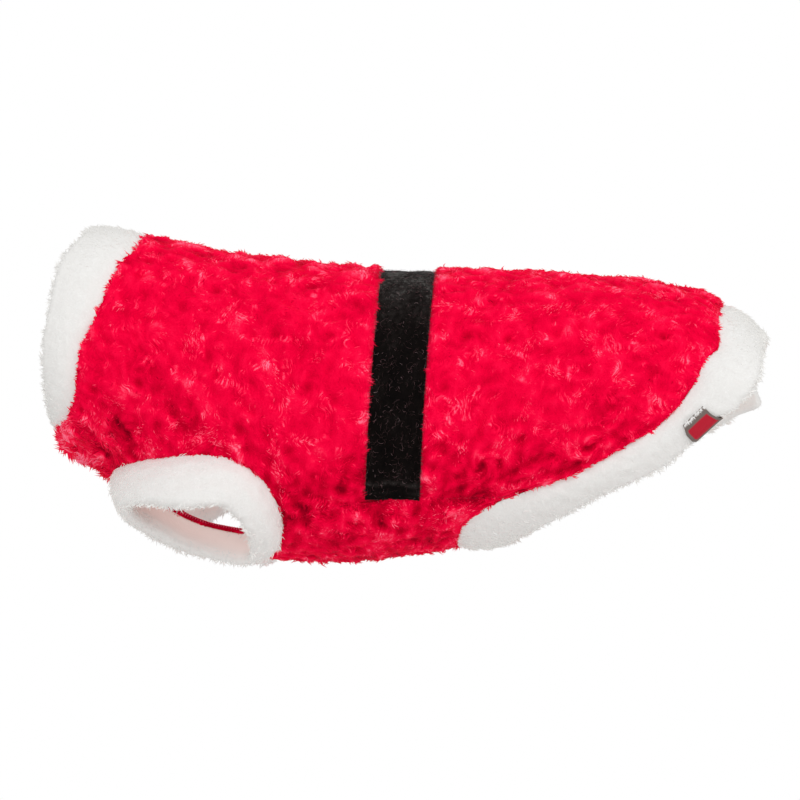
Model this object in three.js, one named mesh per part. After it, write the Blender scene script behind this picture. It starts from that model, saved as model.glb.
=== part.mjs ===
// Santa coat for a small dog with a back of about 36 cm, filled out as if worn.
// X runs from the neck (-X) to the tail (+X), -Y is the dog's left side and +Z is up.
// The origin lies on the inner face of the back, on the spine line under the belt.
// A "turn" is an angle round the body: 0 on the spine, 180 on the belly line.
// All lengths are in millimetres and all turns in degrees.

import * as THREE from "three";

// ---- driving dimensions ----

const plushWall = 4; // rose plush: knit ground with its flattened pile
const pressedWall = 1.7; // the same plush where the belt presses it
const gap = 0.3; // between pieces that meet at a seam
const trimReach = 8; // fur trim, through its pile and its turned edge
const cuffReach = 9; // the same on the cuffs, which hold it together more
const beltWall = 1.2; // velvet
const labelWall = 0.9; // woven tab, folded over the hem
const labelRise = 10; // of the tab up the outside of the hem

// The hollow inside the coat: spine and belly heights and half width, along the body.
const form = [
  { x: -190, spine: 18, belly: -70, half: 36 },
  { x: -165, spine: 19.5, belly: -90, half: 40 },
  { x: -150, spine: 20, belly: -100.5, half: 42.5 },
  { x: -135, spine: 18.5, belly: -112, half: 45 },
  { x: -115, spine: 14.5, belly: -126, half: 48.5 },
  { x: -95, spine: 10, belly: -134, half: 51 },
  { x: -70, spine: 7, belly: -140, half: 54 },
  { x: -35, spine: 2.5, belly: -142, half: 56 },
  { x: 0, spine: 0, belly: -138.5, half: 55.5 },
  { x: 40, spine: -0.5, belly: -132, half: 54 },
  { x: 100, spine: -4, belly: -119, half: 51 },
  { x: 150, spine: -12, belly: -107, half: 46 },
  { x: 165, spine: -20, belly: -103, half: 44 },
  { x: 190, spine: -44, belly: -97, half: 41 },
];

// The side seam between back and belly panels. It passes through the armhole.
const sideSeam = [
  { x: -179, turn: 157 },
  { x: -150, turn: 163 },
  { x: -57, turn: 141 },
  { x: -39, turn: 134 },
  { x: -20, turn: 131 },
  { x: 0, turn: 130.5 },
  { x: 26, turn: 134 },
  { x: 57, turn: 139 },
];

// The collar: where it is sewn on, where its folded edge lies, and how far that edge
// leans in from the form. It stands up across the throat.
const collar = [
  { turn: 0, seam: -141, lip: -163, lean: 0 },
  { turn: 45, seam: -145, lip: -169, lean: 0 },
  { turn: 70, seam: -153, lip: -174.5, lean: 1 },
  { turn: 95, seam: -164, lip: -178, lean: 2 },
  { turn: 120, seam: -167.5, lip: -179.5, lean: 3 },
  { turn: 145, seam: -175, lip: -180.5, lean: 7 },
  { turn: 157, seam: -179, lip: -181, lean: 12 },
  { turn: 180, seam: -181, lip: -182, lean: 17 },
];

// The hem trim, from the tail down the side and across the belly: its seam, and its
// folded edge with its own turn and lean.
const hem = [
  { turn: 0, seam: 164, lip: 183, lipTurn: 0, lean: 2 },
  { turn: 38, seam: 162, lip: 181, lipTurn: 39, lean: 2 },
  { turn: 60, seam: 160, lip: 178.5, lipTurn: 63, lean: 1 },
  { turn: 75, seam: 156.5, lip: 175, lipTurn: 80, lean: 0 },
  { turn: 86, seam: 153, lip: 170, lipTurn: 91.5, lean: 0 },
  { turn: 101, seam: 143.5, lip: 159.5, lipTurn: 107, lean: 0 },
  { turn: 110, seam: 134, lip: 147.5, lipTurn: 119, lean: 0 },
  { turn: 117, seam: 122, lip: 135, lipTurn: 128.5, lean: 0 },
  { turn: 126, seam: 103, lip: 113, lipTurn: 139, lean: 0 },
  { turn: 133, seam: 82, lip: 92, lipTurn: 149, lean: 0 },
  { turn: 139, seam: 57, lip: 69, lipTurn: 159.5, lean: 0 },
  { turn: 144, seam: 41, lip: 58, lipTurn: 167, lean: 0 },
  { turn: 158, seam: 31, lip: 52, lipTurn: 174, lean: 0 },
  { turn: 180, seam: 28, lip: 50, lipTurn: 180, lean: 0 },
];

// Crosswise grid lines of the panels, from neck to tail: where each meets the spine,
// the side seam and the belly line, the back panel's wall from there on, and the steps
// to the next row.
const lines = [
  { name: "neck", spine: -141, seam: -179, belly: -181, wall: plushWall, steps: 3 },
  { name: "armhole front", spine: -132, seam: -150, belly: -152, wall: plushWall, steps: 12 },
  { name: "armhole back", spine: -52, seam: -57, belly: -60, wall: plushWall, steps: 3 },
  { name: "before belt", spine: -14, seam: -18.5, belly: -22, wall: plushWall, steps: 1 },
  { name: "belt front", spine: -12.5, seam: -17, belly: -20.5, wall: pressedWall, steps: 2 },
  { name: "belt back", spine: 15.5, seam: 11, belly: 2.5, wall: pressedWall, steps: 1 },
  { name: "behind belt", spine: 17, seam: 12.5, belly: 4, wall: plushWall, steps: 8 },
  { name: "hem", spine: 164, seam: 57, belly: 28, wall: plushWall, steps: 0 },
];

// The armhole bulges from the side seam line: up into the back panel and down into
// the belly panel, each by a size at its front plus a growth towards its back. Its ends
// are the more pointed the higher the last number is over 1.
const armhole = { up: 36, upGrowth: 4, down: 2, downGrowth: 28, pointed: 1.3 };

// The left cuff's folded edge, all round: 0 in front, 90 outside, 180 behind, 270 inside.
const cuffLip = [
  { round: 0, x: -142, y: -36, z: -118 },
  { round: 45, x: -131, y: -50, z: -116 },
  { round: 90, x: -108, y: -58.5, z: -115.5 },
  { round: 135, x: -87, y: -56, z: -118 },
  { round: 180, x: -75, y: -46, z: -133 },
  { round: 225, x: -85, y: -29, z: -144 },
  { round: 270, x: -108, y: -22.5, z: -139 },
  { round: 315, x: -131, y: -23, z: -129 },
];

// A trim's section, from its seam on the inner side round the folded edge and back.
// along: from the seam (0) to the edge (1). side and past: half reaches to the outer
// side and past the edge.
const trimSection = [
  { along: 0.45, side: -0.8, past: 0 },
  { along: 0.85, side: -1, past: 0 },
  { along: 1, side: -0.85, past: 0.5 },
  { along: 1, side: -0.3, past: 1 },
  { along: 1, side: 0.35, past: 1 },
  { along: 1, side: 0.85, past: 0.55 },
  { along: 0.85, side: 1.05, past: 0 },
  { along: 0.5, side: 1.15, past: 0 },
  { along: 0.22, side: 0.85, past: 0 },
];

const halfBackSteps = 14; // of the back panel, spine to side seam
const halfBellySteps = 4; // of the belly panel, belly line to side seam
const labelSteps = [7.6, 8, 8.6]; // steps down the hem loop from the spine, along the tab

// ---- curves through tables ----

// A monotone cubic through the rows: no overshoot between them, straight beyond them.
function through(rows, from, to) {
  const xs = rows.map((row) => row[from]);
  const ys = rows.map((row) => row[to]);
  const last = xs.length - 1;
  const rise = xs.slice(1).map((x, i) => (ys[i + 1] - ys[i]) / (x - xs[i]));
  const slope = xs.map((x, i) => {
    if (i === 0) return rise[0];
    if (i === last) return rise[last - 1];
    if (rise[i - 1] * rise[i] <= 0) return 0;
    return (2 * rise[i - 1] * rise[i]) / (rise[i - 1] + rise[i]);
  });
  return (x) => {
    if (x <= xs[0]) return ys[0] + slope[0] * (x - xs[0]);
    if (x >= xs[last]) return ys[last] + slope[last] * (x - xs[last]);
    const i = xs.findIndex((next, k) => k > 0 && x <= next) - 1;
    const width = xs[i + 1] - xs[i];
    const t = (x - xs[i]) / width;
    const bend = t * (1 - t) * (1 - t) * width * slope[i] - t * t * (1 - t) * width * slope[i + 1];
    return ys[i] + (3 - 2 * t) * t * t * (ys[i + 1] - ys[i]) + bend;
  };
}

const spineAt = through(form, "x", "spine");
const bellyAt = through(form, "x", "belly");
const halfAt = through(form, "x", "half");
const seamTurnAt = through(sideSeam, "x", "turn");
const collarSeam = through(collar, "turn", "seam");
const collarLip = through(collar, "turn", "lip");
const collarLean = through(collar, "turn", "lean");
const hemSeam = through(hem, "turn", "seam");
const hemLip = through(hem, "turn", "lip");
const hemLipTurn = through(hem, "turn", "lipTurn");
const hemLean = through(hem, "turn", "lean");

const mix = THREE.MathUtils.lerp;
const radians = THREE.MathUtils.degToRad;

// A point on the form, lifted off it: the lift adds to both radii of the section.
function onForm(x, turn, lift = 0) {
  const middle = (spineAt(x) + bellyAt(x)) / 2;
  const tall = (spineAt(x) - bellyAt(x)) / 2 + lift;
  const wide = halfAt(x) + lift;
  const angle = radians(turn);
  return new THREE.Vector3(x, -wide * Math.sin(angle), middle + tall * Math.cos(angle));
}

// ---- the panels' grid lines ----

// How far a line has come from its spine or belly end (start, a turn) to its seam end,
// at a part v of the way: like the collar seam at the neck, like the hem at the tail
// and a parabola between them.
function drift(line, start, v) {
  const like = (curve, end) => (curve(mix(start, end, v)) - curve(start)) / (curve(end) - curve(start));
  const likeCollar = like(collarSeam, sideSeam[0].turn);
  const likeHem = like(hemSeam, sideSeam[sideSeam.length - 1].turn);
  const plain = 1 - line.neckness - line.hemness;
  return line.neckness * likeCollar + line.hemness * likeHem + plain * v * v;
}

function gridLines() {
  const beltFront = lines.find((row) => row.name === "belt front").spine;
  const beltBack = lines.find((row) => row.name === "belt back").spine;
  const neck = lines[0].spine;
  const tail = lines[lines.length - 1].spine;
  const result = [];
  lines.forEach((row, r) => {
    const next = lines[Math.min(r + 1, lines.length - 1)];
    const isArmhole = row.name === "armhole front";
    for (let k = 0; k < Math.max(row.steps, 1); k += 1) {
      const even = row.steps ? k / row.steps : 0;
      const s = isArmhole ? (1 - Math.cos(Math.PI * even)) / 2 : even;
      const spine = mix(row.spine, next.spine, s);
      const seam = mix(row.seam, next.seam, s);
      const bulge = isArmhole ? Math.sin(Math.PI * even) ** armhole.pointed : 0;
      result.push({
        spine,
        seam,
        belly: mix(row.belly, next.belly, s),
        wall: row.wall,
        backTurn: seamTurnAt(seam) - (armhole.up + armhole.upGrowth * s) * bulge,
        bellyTurn: seamTurnAt(seam) + (armhole.down + armhole.downGrowth * s * s) * bulge,
        neckness: THREE.MathUtils.clamp((spine - beltFront) / (neck - beltFront), 0, 1),
        hemness: THREE.MathUtils.clamp((spine - beltBack) / (tail - beltBack), 0, 1),
        name: k === 0 ? row.name : "",
      });
    }
  });
  return result;
}

const grid = gridLines();
const backEnd = grid.findIndex((line) => line.name === "armhole back");
const frontEnd = grid.findIndex((line) => line.name === "armhole front");

// Half of the seam gap, as a turn.
const seamTurnGap = THREE.MathUtils.radToDeg(gap / 2 / halfAt(0));

// Part of the way from spine to seam at each step: closer together near the seam,
// where the hem runs forward along it.
const backParts = Array.from({ length: 2 * halfBackSteps + 1 }, (_, j) => {
  const t = Math.abs(j - halfBackSteps) / halfBackSteps;
  return Math.sign(j - halfBackSteps) * (1 - (1 - t) ** 1.6);
});
const bellyParts = Array.from({ length: 2 * halfBellySteps + 1 }, (_, j) => 1 - j / halfBellySteps);

function backPoint(line, part, lift) {
  const v = Math.abs(part);
  const x = mix(line.spine, line.seam, drift(line, 0, v));
  return onForm(x, part * (line.backTurn - seamTurnGap), lift);
}

function bellyPoint(line, part, lift) {
  const v = Math.abs(part);
  const x = mix(line.belly, line.seam, drift(line, 180, v));
  const turn = 180 - v * (180 - line.bellyTurn - seamTurnGap);
  return onForm(x, part < 0 ? -turn : turn, lift);
}

// ---- closed solids ----

function solid(points, triangles) {
  const shape = new THREE.BufferGeometry();
  let volume = 0;
  for (const [a, b, c] of triangles) {
    volume += points[a].dot(new THREE.Vector3().crossVectors(points[b], points[c])) / 6;
  }
  const index = triangles.flatMap(([a, b, c]) => (volume > 0 ? [a, b, c] : [a, c, b]));
  shape.setAttribute("position", new THREE.Float32BufferAttribute(points.flatMap((p) => p.toArray()), 3));
  shape.setIndex(index);
  shape.computeVertexNormals();
  return shape;
}

// A four-sided facet, split along its shorter diagonal, so that the two faces of a seam
// fold alike.
function facet(points, a, b, c, d) {
  const isAcross = points[a].distanceTo(points[c]) < points[b].distanceTo(points[d]);
  return isAcross ? [[a, b, c], [a, c, d]] : [[a, b, d], [b, c, d]];
}

// A wall between two grids of points of the same size.
function sheet(outer, inner) {
  const rows = outer.length;
  const across = outer[0].length;
  const points = [...outer.flat(), ...inner.flat()];
  const at = (side, i, j) => side * rows * across + i * across + j;
  const triangles = [];
  const quad = (...corners) => triangles.push(...facet(points, ...corners));
  for (let i = 0; i + 1 < rows; i += 1) {
    for (let j = 0; j + 1 < across; j += 1) {
      quad(at(0, i, j), at(0, i, j + 1), at(0, i + 1, j + 1), at(0, i + 1, j));
      quad(at(1, i, j), at(1, i + 1, j), at(1, i + 1, j + 1), at(1, i, j + 1));
    }
    quad(at(0, i, 0), at(0, i + 1, 0), at(1, i + 1, 0), at(1, i, 0));
    quad(at(0, i + 1, across - 1), at(0, i, across - 1), at(1, i, across - 1), at(1, i + 1, across - 1));
  }
  for (let j = 0; j + 1 < across; j += 1) {
    quad(at(0, 0, j + 1), at(0, 0, j), at(1, 0, j), at(1, 0, j + 1));
    quad(at(0, rows - 1, j), at(0, rows - 1, j + 1), at(1, rows - 1, j + 1), at(1, rows - 1, j));
  }
  return solid(points, triangles);
}

// A ring of closed sections.
function ring(sections) {
  const around = sections.length;
  const across = sections[0].length;
  const points = sections.flat();
  const at = (i, j) => (i % around) * across + (j % across);
  const triangles = [];
  for (let i = 0; i < around; i += 1) {
    for (let j = 0; j < across; j += 1) {
      triangles.push(...facet(points, at(i, j), at(i, j + 1), at(i + 1, j + 1), at(i + 1, j)));
    }
  }
  return solid(points, triangles);
}

// ---- trims ----

// Sections of a fur trim on a closed loop of panel edge. Each station has the edge's
// inner and outer points, the folded edge's middle (lip) and a direction outwards.
function trimSections(stations, reach, rows = trimSection, lift = 0) {
  const roots = stations.map(({ inner, outer }) => inner.clone().lerp(outer, 0.5));
  const runs = stations.map(({ lip }, k) => lip.clone().sub(roots[k]).normalize());
  const away = (k, edge) => {
    const { inner, outer } = stations[k];
    const before = stations[(k + stations.length - 1) % stations.length][edge];
    const after = stations[(k + 1) % stations.length][edge];
    const arriving = stations[k][edge].clone().sub(before).normalize();
    const leaving = after.clone().sub(stations[k][edge]).normalize();
    const mitre = Math.sqrt(2 / (1 + arriving.dot(leaving)));
    return outer.clone().sub(inner).cross(arriving.add(leaving)).setLength(mitre);
  };
  const sense = Math.sign(runs.reduce((sum, run, k) => sum + run.dot(away(k, "inner")), 0));
  return stations.map((station, k) => {
    const run = runs[k];
    const side = station.out.clone().addScaledVector(run, -station.out.dot(run)).normalize();
    const seat = (edge) => station[edge].clone().addScaledVector(away(k, edge), sense * gap);
    const around = rows.map((row) => {
      const lean = side.clone().multiplyScalar(row.side).addScaledVector(run, row.past);
      const point = roots[k].clone().lerp(station.lip, row.along).addScaledVector(lean, reach / 2);
      return point.addScaledVector(lean.normalize(), lift);
    });
    return lift ? around : [seat("inner"), ...around, seat("outer")];
  });
}

// A station of the collar or hem loop, from its seam's and its folded edge's place.
function trimStation(x, turn, lipX, lipTurn, lean) {
  const inner = onForm(x, turn);
  const outer = onForm(x, turn, plushWall);
  const lip = onForm(lipX, lipTurn, trimReach / 2 - lean);
  return { inner, outer, lip, out: outer.clone().sub(inner).normalize() };
}

// The turns of a loop right round the body: the back panel's edge points, then the
// belly panel's, without the ones that the seam repeats.
function loopTurns(line) {
  const back = backParts.map((part) => part * (line.backTurn - seamTurnGap));
  const belly = bellyParts.slice(1, -1).map((part) => {
    const turn = 180 - Math.abs(part) * (180 - line.bellyTurn - seamTurnGap);
    return part < 0 ? 360 - turn : turn;
  });
  return [...back, ...belly];
}

function collarStations() {
  return loopTurns(grid[0]).map((turn) => {
    const down = turn > 180 ? 360 - turn : Math.abs(turn);
    return trimStation(collarSeam(down), turn, collarLip(down), turn, collarLean(down));
  });
}

function hemStations() {
  return loopTurns(grid[grid.length - 1]).map((turn) => {
    const down = turn > 180 ? 360 - turn : Math.abs(turn);
    const lipTurn = turn > 180 ? 360 - hemLipTurn(down) : Math.sign(turn) * hemLipTurn(down);
    return trimStation(hemSeam(down), turn, hemLip(down), lipTurn, hemLean(down));
  });
}

// The left cuff: over the top of the armhole on the back panel's edge from front to
// back, then home along the belly panel's edge.
function cuffStations() {
  const steps = backEnd - frontEnd;
  const lips = new THREE.CatmullRomCurve3(cuffLip.map(({ x, y, z }) => new THREE.Vector3(x, y, z)), true);
  const middle = cuffLip.reduce((sum, row) => sum.add(row), new THREE.Vector3()).divideScalar(cuffLip.length);
  return Array.from({ length: 2 * steps }, (_, k) => {
    const isOver = k <= steps;
    const line = grid[frontEnd + (isOver ? k : 2 * steps - k)];
    const point = isOver ? backPoint : bellyPoint;
    const lip = lips.getPoint(k / (2 * steps));
    const out = lip.clone().sub(middle).normalize();
    return { inner: point(line, 1, 0), outer: point(line, 1, plushWall), lip, out };
  });
}

function mirrored(stations) {
  const flip = new THREE.Vector3(1, -1, 1);
  return stations.map((station) => Object.fromEntries(
    Object.entries(station).map(([key, point]) => [key, point.clone().multiply(flip)]),
  ));
}

// ---- pieces ----

function panel(parts, point, wall) {
  const side = (lift) => grid.map((line) => parts.map((part) => point(line, part, lift(line))));
  return sheet(side(wall), side(() => 0));
}

// The belt lies on the back panel's pressed strip, a seam gap in from its long edges.
function belt() {
  const edges = grid.filter((line) => line.wall === pressedWall);
  const lift = pressedWall + gap;
  const rows = edges.map((line, i) => {
    const inward = i === 0 ? gap : i === edges.length - 1 ? -gap : 0;
    return { ...line, spine: line.spine + inward, seam: line.seam + inward };
  });
  const side = (height) => rows.map((line) => backParts.map((part) => backPoint(line, part, height)));
  return sheet(side(lift + beltWall), side(lift));
}

// The tab is folded over the hem's edge, made from the hem trim's own section moved out.
function label(stations) {
  const [first] = labelSteps;
  const { lip, inner } = stations[halfBackSteps + Math.round(first)];
  const top = { along: 1 - (labelRise - trimReach / 2) / lip.distanceTo(inner), side: 1.08, past: 0 };
  const rows = [trimSection[1], ...trimSection.slice(2, 7), top];
  const side = (lift) => {
    const sections = trimSections(stations, trimReach, rows, lift);
    return labelSteps.map((step) => {
      const k = halfBackSteps + Math.floor(step);
      return sections[k].map((point, j) => point.clone().lerp(sections[k + 1][j], step % 1));
    });
  };
  return sheet(side(gap + labelWall), side(gap));
}

const fabric = (color, roughness) => new THREE.MeshStandardMaterial({ color, roughness, metalness: 0 });
const rosePlush = fabric(0xe9083c, 0.9);
const whiteFur = fabric(0xe9e8e5, 0.95);
const velvet = fabric(0x18110f, 0.75);
const woven = fabric(0x7b7069, 0.8);

const hemLoop = hemStations();
const leftCuff = cuffStations();
const pieces = [
  ["back_panel", panel(backParts, backPoint, (line) => line.wall), rosePlush],
  ["belly_panel", panel(bellyParts, bellyPoint, () => plushWall), rosePlush],
  ["collar_trim", ring(trimSections(collarStations(), trimReach)), whiteFur],
  ["hem_trim", ring(trimSections(hemLoop, trimReach)), whiteFur],
  ["cuff_left", ring(trimSections(leftCuff, cuffReach)), whiteFur],
  ["cuff_right", ring(trimSections(mirrored(leftCuff), cuffReach)), whiteFur],
  ["belt", belt(), velvet],
  ["label", label(hemLoop), woven],
];

const coat = new THREE.Group();
for (const [name, shape, material] of pieces) {
  const mesh = new THREE.Mesh(shape, material);
  mesh.name = name;
  coat.add(mesh);
}

export default coat;
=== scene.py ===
import bpy
import numpy as np
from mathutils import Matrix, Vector


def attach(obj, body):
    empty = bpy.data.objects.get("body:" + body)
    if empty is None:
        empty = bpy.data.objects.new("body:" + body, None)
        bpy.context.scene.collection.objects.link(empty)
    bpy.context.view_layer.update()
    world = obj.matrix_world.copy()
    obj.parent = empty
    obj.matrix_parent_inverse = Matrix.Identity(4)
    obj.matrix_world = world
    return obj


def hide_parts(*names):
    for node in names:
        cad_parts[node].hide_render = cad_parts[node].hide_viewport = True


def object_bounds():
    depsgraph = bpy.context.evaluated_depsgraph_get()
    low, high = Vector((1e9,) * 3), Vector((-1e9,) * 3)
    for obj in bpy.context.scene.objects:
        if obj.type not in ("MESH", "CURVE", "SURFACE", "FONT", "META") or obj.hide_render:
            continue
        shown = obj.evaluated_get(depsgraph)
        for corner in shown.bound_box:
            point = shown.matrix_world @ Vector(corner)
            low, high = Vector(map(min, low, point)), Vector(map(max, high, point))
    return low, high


# Looks of the dog santa coat. Sizes are in millimetres and turns in degrees until a mesh is
# made, which is in metres. X runs from neck to tail, -Y is the dog's left, +Z is up. A turn
# is an angle round the body: 0 on the spine, 90 on the left side, 180 on the belly line.

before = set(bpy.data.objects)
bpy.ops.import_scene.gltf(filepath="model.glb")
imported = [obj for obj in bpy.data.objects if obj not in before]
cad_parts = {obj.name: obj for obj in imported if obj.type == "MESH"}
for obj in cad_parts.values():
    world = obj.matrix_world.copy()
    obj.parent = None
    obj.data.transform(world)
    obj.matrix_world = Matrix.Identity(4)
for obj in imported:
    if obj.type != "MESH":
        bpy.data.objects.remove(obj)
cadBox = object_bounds()
mm = 0.001

# The hollow that the coat is filled out to, as the CAD has it, along the body.
form = {
    "x": [-190, -165, -150, -135, -115, -95, -70, -35, 0, 40, 100, 150, 165, 190],
    "spine": [18, 19.5, 20, 18.5, 14.5, 10, 7, 2.5, 0, -0.5, -4, -12, -20, -44],
    "belly": [-70, -90, -100.5, -112, -126, -134, -140, -142, -138.5, -132, -119, -107, -103, -97],
    "half": [36, 40, 42.5, 45, 48.5, 51, 54, 56, 55.5, 54, 51, 46, 44, 41],
}
sideSeam = {
    "x": [-179, -150, -57, -39, -20, 0, 26, 57],
    "turn": [157, 163, 140.5, 134, 131, 130.5, 134, 139],
    "depth": 1.2, "width": 6.0,  # of the dip along it
}
collar = {
    "turn": [0, 27, 45, 70, 95, 120, 145, 157, 180],
    "seam": [-134.5, -138, -146, -154, -164, -167.5, -175, -179, -181],
    "lip": [-161.5, -165.5, -170.2, -177.2, -180, -181, -181.5, -181.5, -182],
    "lean": [0, 0, 0, 1, 2, 3, 7, 12, 17],
}
hem = {
    "turn": [0, 38, 60, 75, 86, 101, 110, 117, 126, 133, 139, 144, 158, 180],
    "seam": [162, 162, 163, 155.5, 152, 143, 134, 122, 103, 82, 57, 39.5, 28, 24],
    "lip": [181, 180, 179.8, 176.5, 171.5, 159.5, 147.5, 135, 113, 92, 69, 56.5, 49.5, 47],
    "lipTurn": [0, 39, 63, 80, 91.5, 107, 119, 128.5, 138.5, 147.5, 157, 164.5, 173, 180],
    "lean": [2, 2, 1, 0, 0, 0, 0, 0, 0, 0, 0, 0, 0, 0],
    "farTurn": [0, 0, 3, 5, 2, 3.5, 8, 9.5, 10.5, 9, 7, 5, 2, 0],
    "farLip": [0, -3, -7.3, -3.5, 3.5, -0.5, -3.5, -4, -3, -2, -2, -2, -1, 0],
    "bulge": 1.6, "bulgeTurn": 94, "bulgeWidth": 6,
    "crowd": 22,  # how many degrees its stations move towards the sides
}
# Crosswise lines of the panels: where each meets the spine, the side seam and the belly.
lines = {
    "name": ["neck", "armhole front", "armhole back", "belt front", "belt back", "hem"],
    "spine": [-134.5, -127, -52, -15.0, 14.2, 162],
    "seam": [-179, -150, -61, -17.7, 11.7, 57],
    "belly": [-181, -152, -60, -21.2, 3.2, 24],
    "bow": 3.4,
}
armhole = {
    "up": 36, "upGrowth": 5,  # how far it reaches over the side seam, and more at its back end
    "down": 0.5, "downGrowth": (12, 22),  # and under it, on the left and on the right
    "pointed": 1.32, "rounder": 0.40,
}
cuffLip = {
    "x": [-142, -131, -108, -85.5, -74, -77.5, -107, -131],
    "y": [-36, -50, -58.5, -56, -46, -29, -22.5, -23],
    "z": [-118, -116, -115.5, -116.5, -131, -145, -139.5, -129],
}
cuffCorner = {  # the lower back corner, where the strip laps over the panel and swells
    "at": 0.64, "width": 0.10, "over": 3.5, "swell": 7.0, "thin": 0.38, "farSwell": 0.3,
}
cloth = {"plushWall": 4.0, "trimReach": 8.0, "cuffReach": 9.0}
formRadius = 60.0  # about the body's radius: it makes lengths of turns


def through(table, at, key, x):
    # A cubic through two columns of a table that never overshoots a row, straight beyond it.
    xs, ys = np.array(table[at], float), np.array(table[key], float)
    rise = np.diff(ys) / np.diff(xs)
    same = rise[:-1] * rise[1:] > 0
    between = 2 * rise[:-1] * rise[1:] / np.where(same, rise[:-1] + rise[1:], 1)
    slope = np.concatenate([rise[:1], np.where(same, between, 0), rise[-1:]])
    x = np.asarray(x, float)
    i = np.clip(np.searchsorted(xs, x) - 1, 0, len(rise) - 1)
    width = xs[i + 1] - xs[i]
    t = np.clip((x - xs[i]) / width, 0, 1)
    bend = t * (1 - t) ** 2 * width * slope[i] - t * t * (1 - t) * width * slope[i + 1]
    inside = ys[i] + (3 - 2 * t) * t * t * (ys[i + 1] - ys[i]) + bend
    return inside + slope[0] * np.minimum(x - xs[0], 0) + slope[-1] * np.maximum(x - xs[-1], 0)


def onForm(x, turn, lift=0.0):
    # An ellipse at each x between the spine and belly heights; lift adds to both its radii.
    x, turn, lift = np.broadcast_arrays(x, np.radians(turn), lift)
    spine, belly = through(form, "x", "spine", x), through(form, "x", "belly", x)
    wide = through(form, "x", "half", x) + lift
    tall = (spine - belly) / 2 + lift
    z = (spine + belly) / 2 + tall * np.cos(turn)
    return np.stack([x, -wide * np.sin(turn), z], axis=-1)


def signedTurn(turn):
    # The same turn from -180 on the right to 180 on the left.
    return np.where(turn > 180, turn - 360, turn)


def fromSpine(turn):
    # The same turn on either side: 0 on the spine, 180 on the belly line.
    return 180 - np.abs(180 - turn % 360)


def unit(v):
    return v / np.maximum(np.linalg.norm(v, axis=-1, keepdims=True), 1e-9)


def pathLengths(points):
    # How far along a path each of its points is.
    return np.concatenate([[0], np.cumsum(np.linalg.norm(np.diff(points, axis=0), axis=-1))])


def closed(grid):
    # A grid or a path with its first row again at its end.
    return np.concatenate([grid, grid[:1]])


def smooth(low, high, x):
    # 0 below low, 1 above high and a soft step between.
    t = np.clip((np.asarray(x, float) - low) / (high - low), 0, 1)
    return t * t * (3 - 2 * t)


def ripple(points, size, seed, waves=18):
    # Soft unevenness of about one in height: a sum of sine waves in random directions whose
    # length is size, give or take a third.
    dice = np.random.default_rng(seed)
    way = unit(dice.normal(size=(waves, points.shape[-1])))
    pace = 2 * np.pi / (size * dice.uniform(0.7, 1.4, waves))
    phase = dice.uniform(0, 2 * np.pi, waves)
    total = sum(np.sin(points @ way[k] * pace[k] + phase[k]) for k in range(waves))
    return total * np.sqrt(2 / waves)


def makeMesh(name, points, faces, material, body="root", **layers):
    # points in mm; faces a list of arrays of 3 or 4 corners; layers are numbers per vertex.
    mesh = bpy.data.meshes.new(name)
    corners = np.concatenate([f.ravel() for f in faces]).astype(np.int32)
    sizes = np.concatenate([np.full(len(f), f.shape[1]) for f in faces]).astype(np.int32)
    mesh.vertices.add(len(points))
    mesh.loops.add(len(corners))
    mesh.polygons.add(len(sizes))
    starts = np.concatenate([[0], np.cumsum(sizes)[:-1]]).astype(np.int32)
    mesh.vertices.foreach_set("co", (np.asarray(points, float) * mm).astype(np.float32).ravel())
    mesh.loops.foreach_set("vertex_index", corners)
    mesh.polygons.foreach_set("loop_start", starts)
    mesh.polygons.foreach_set("use_smooth", np.ones(len(sizes), bool))
    mesh.update(calc_edges=True)
    for key, values in layers.items():
        layer = mesh.attributes.new(key, "FLOAT", "POINT")
        layer.data.foreach_set("value", np.asarray(values, np.float32).ravel())
    piece = bpy.data.objects.new(name, mesh)
    bpy.context.scene.collection.objects.link(piece)
    mesh.materials.append(material)
    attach(piece, body)
    return piece


def gridFaces(rows, columns, closedRows=False, closedColumns=False, first=0):
    # Four-sided faces of a grid of points kept row by row.
    i = np.arange(rows if closedRows else rows - 1)[:, None]
    j = np.arange(columns if closedColumns else columns - 1)[None, :]
    at = lambda a, b: first + (a % rows) * columns + b % columns
    faces = [at(i, j), at(i, j + 1), at(i + 1, j + 1), at(i + 1, j)]
    return np.stack(faces, axis=-1).reshape(-1, 4)


def facingOut(points, faces):
    # The faces, turned over if they enclose a negative volume.
    volume = 0.0
    for f in faces:
        a, b, c = points[f[:, 0]], points[f[:, 1]], points[f[:, 2]]
        volume += np.einsum("ij,ij->i", a, np.cross(b, c)).sum()
        if f.shape[1] == 4:
            d = points[f[:, 3]]
            volume += np.einsum("ij,ij->i", a, np.cross(c, d)).sum()
    return faces if volume > 0 else [f[:, ::-1] for f in faces]


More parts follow.
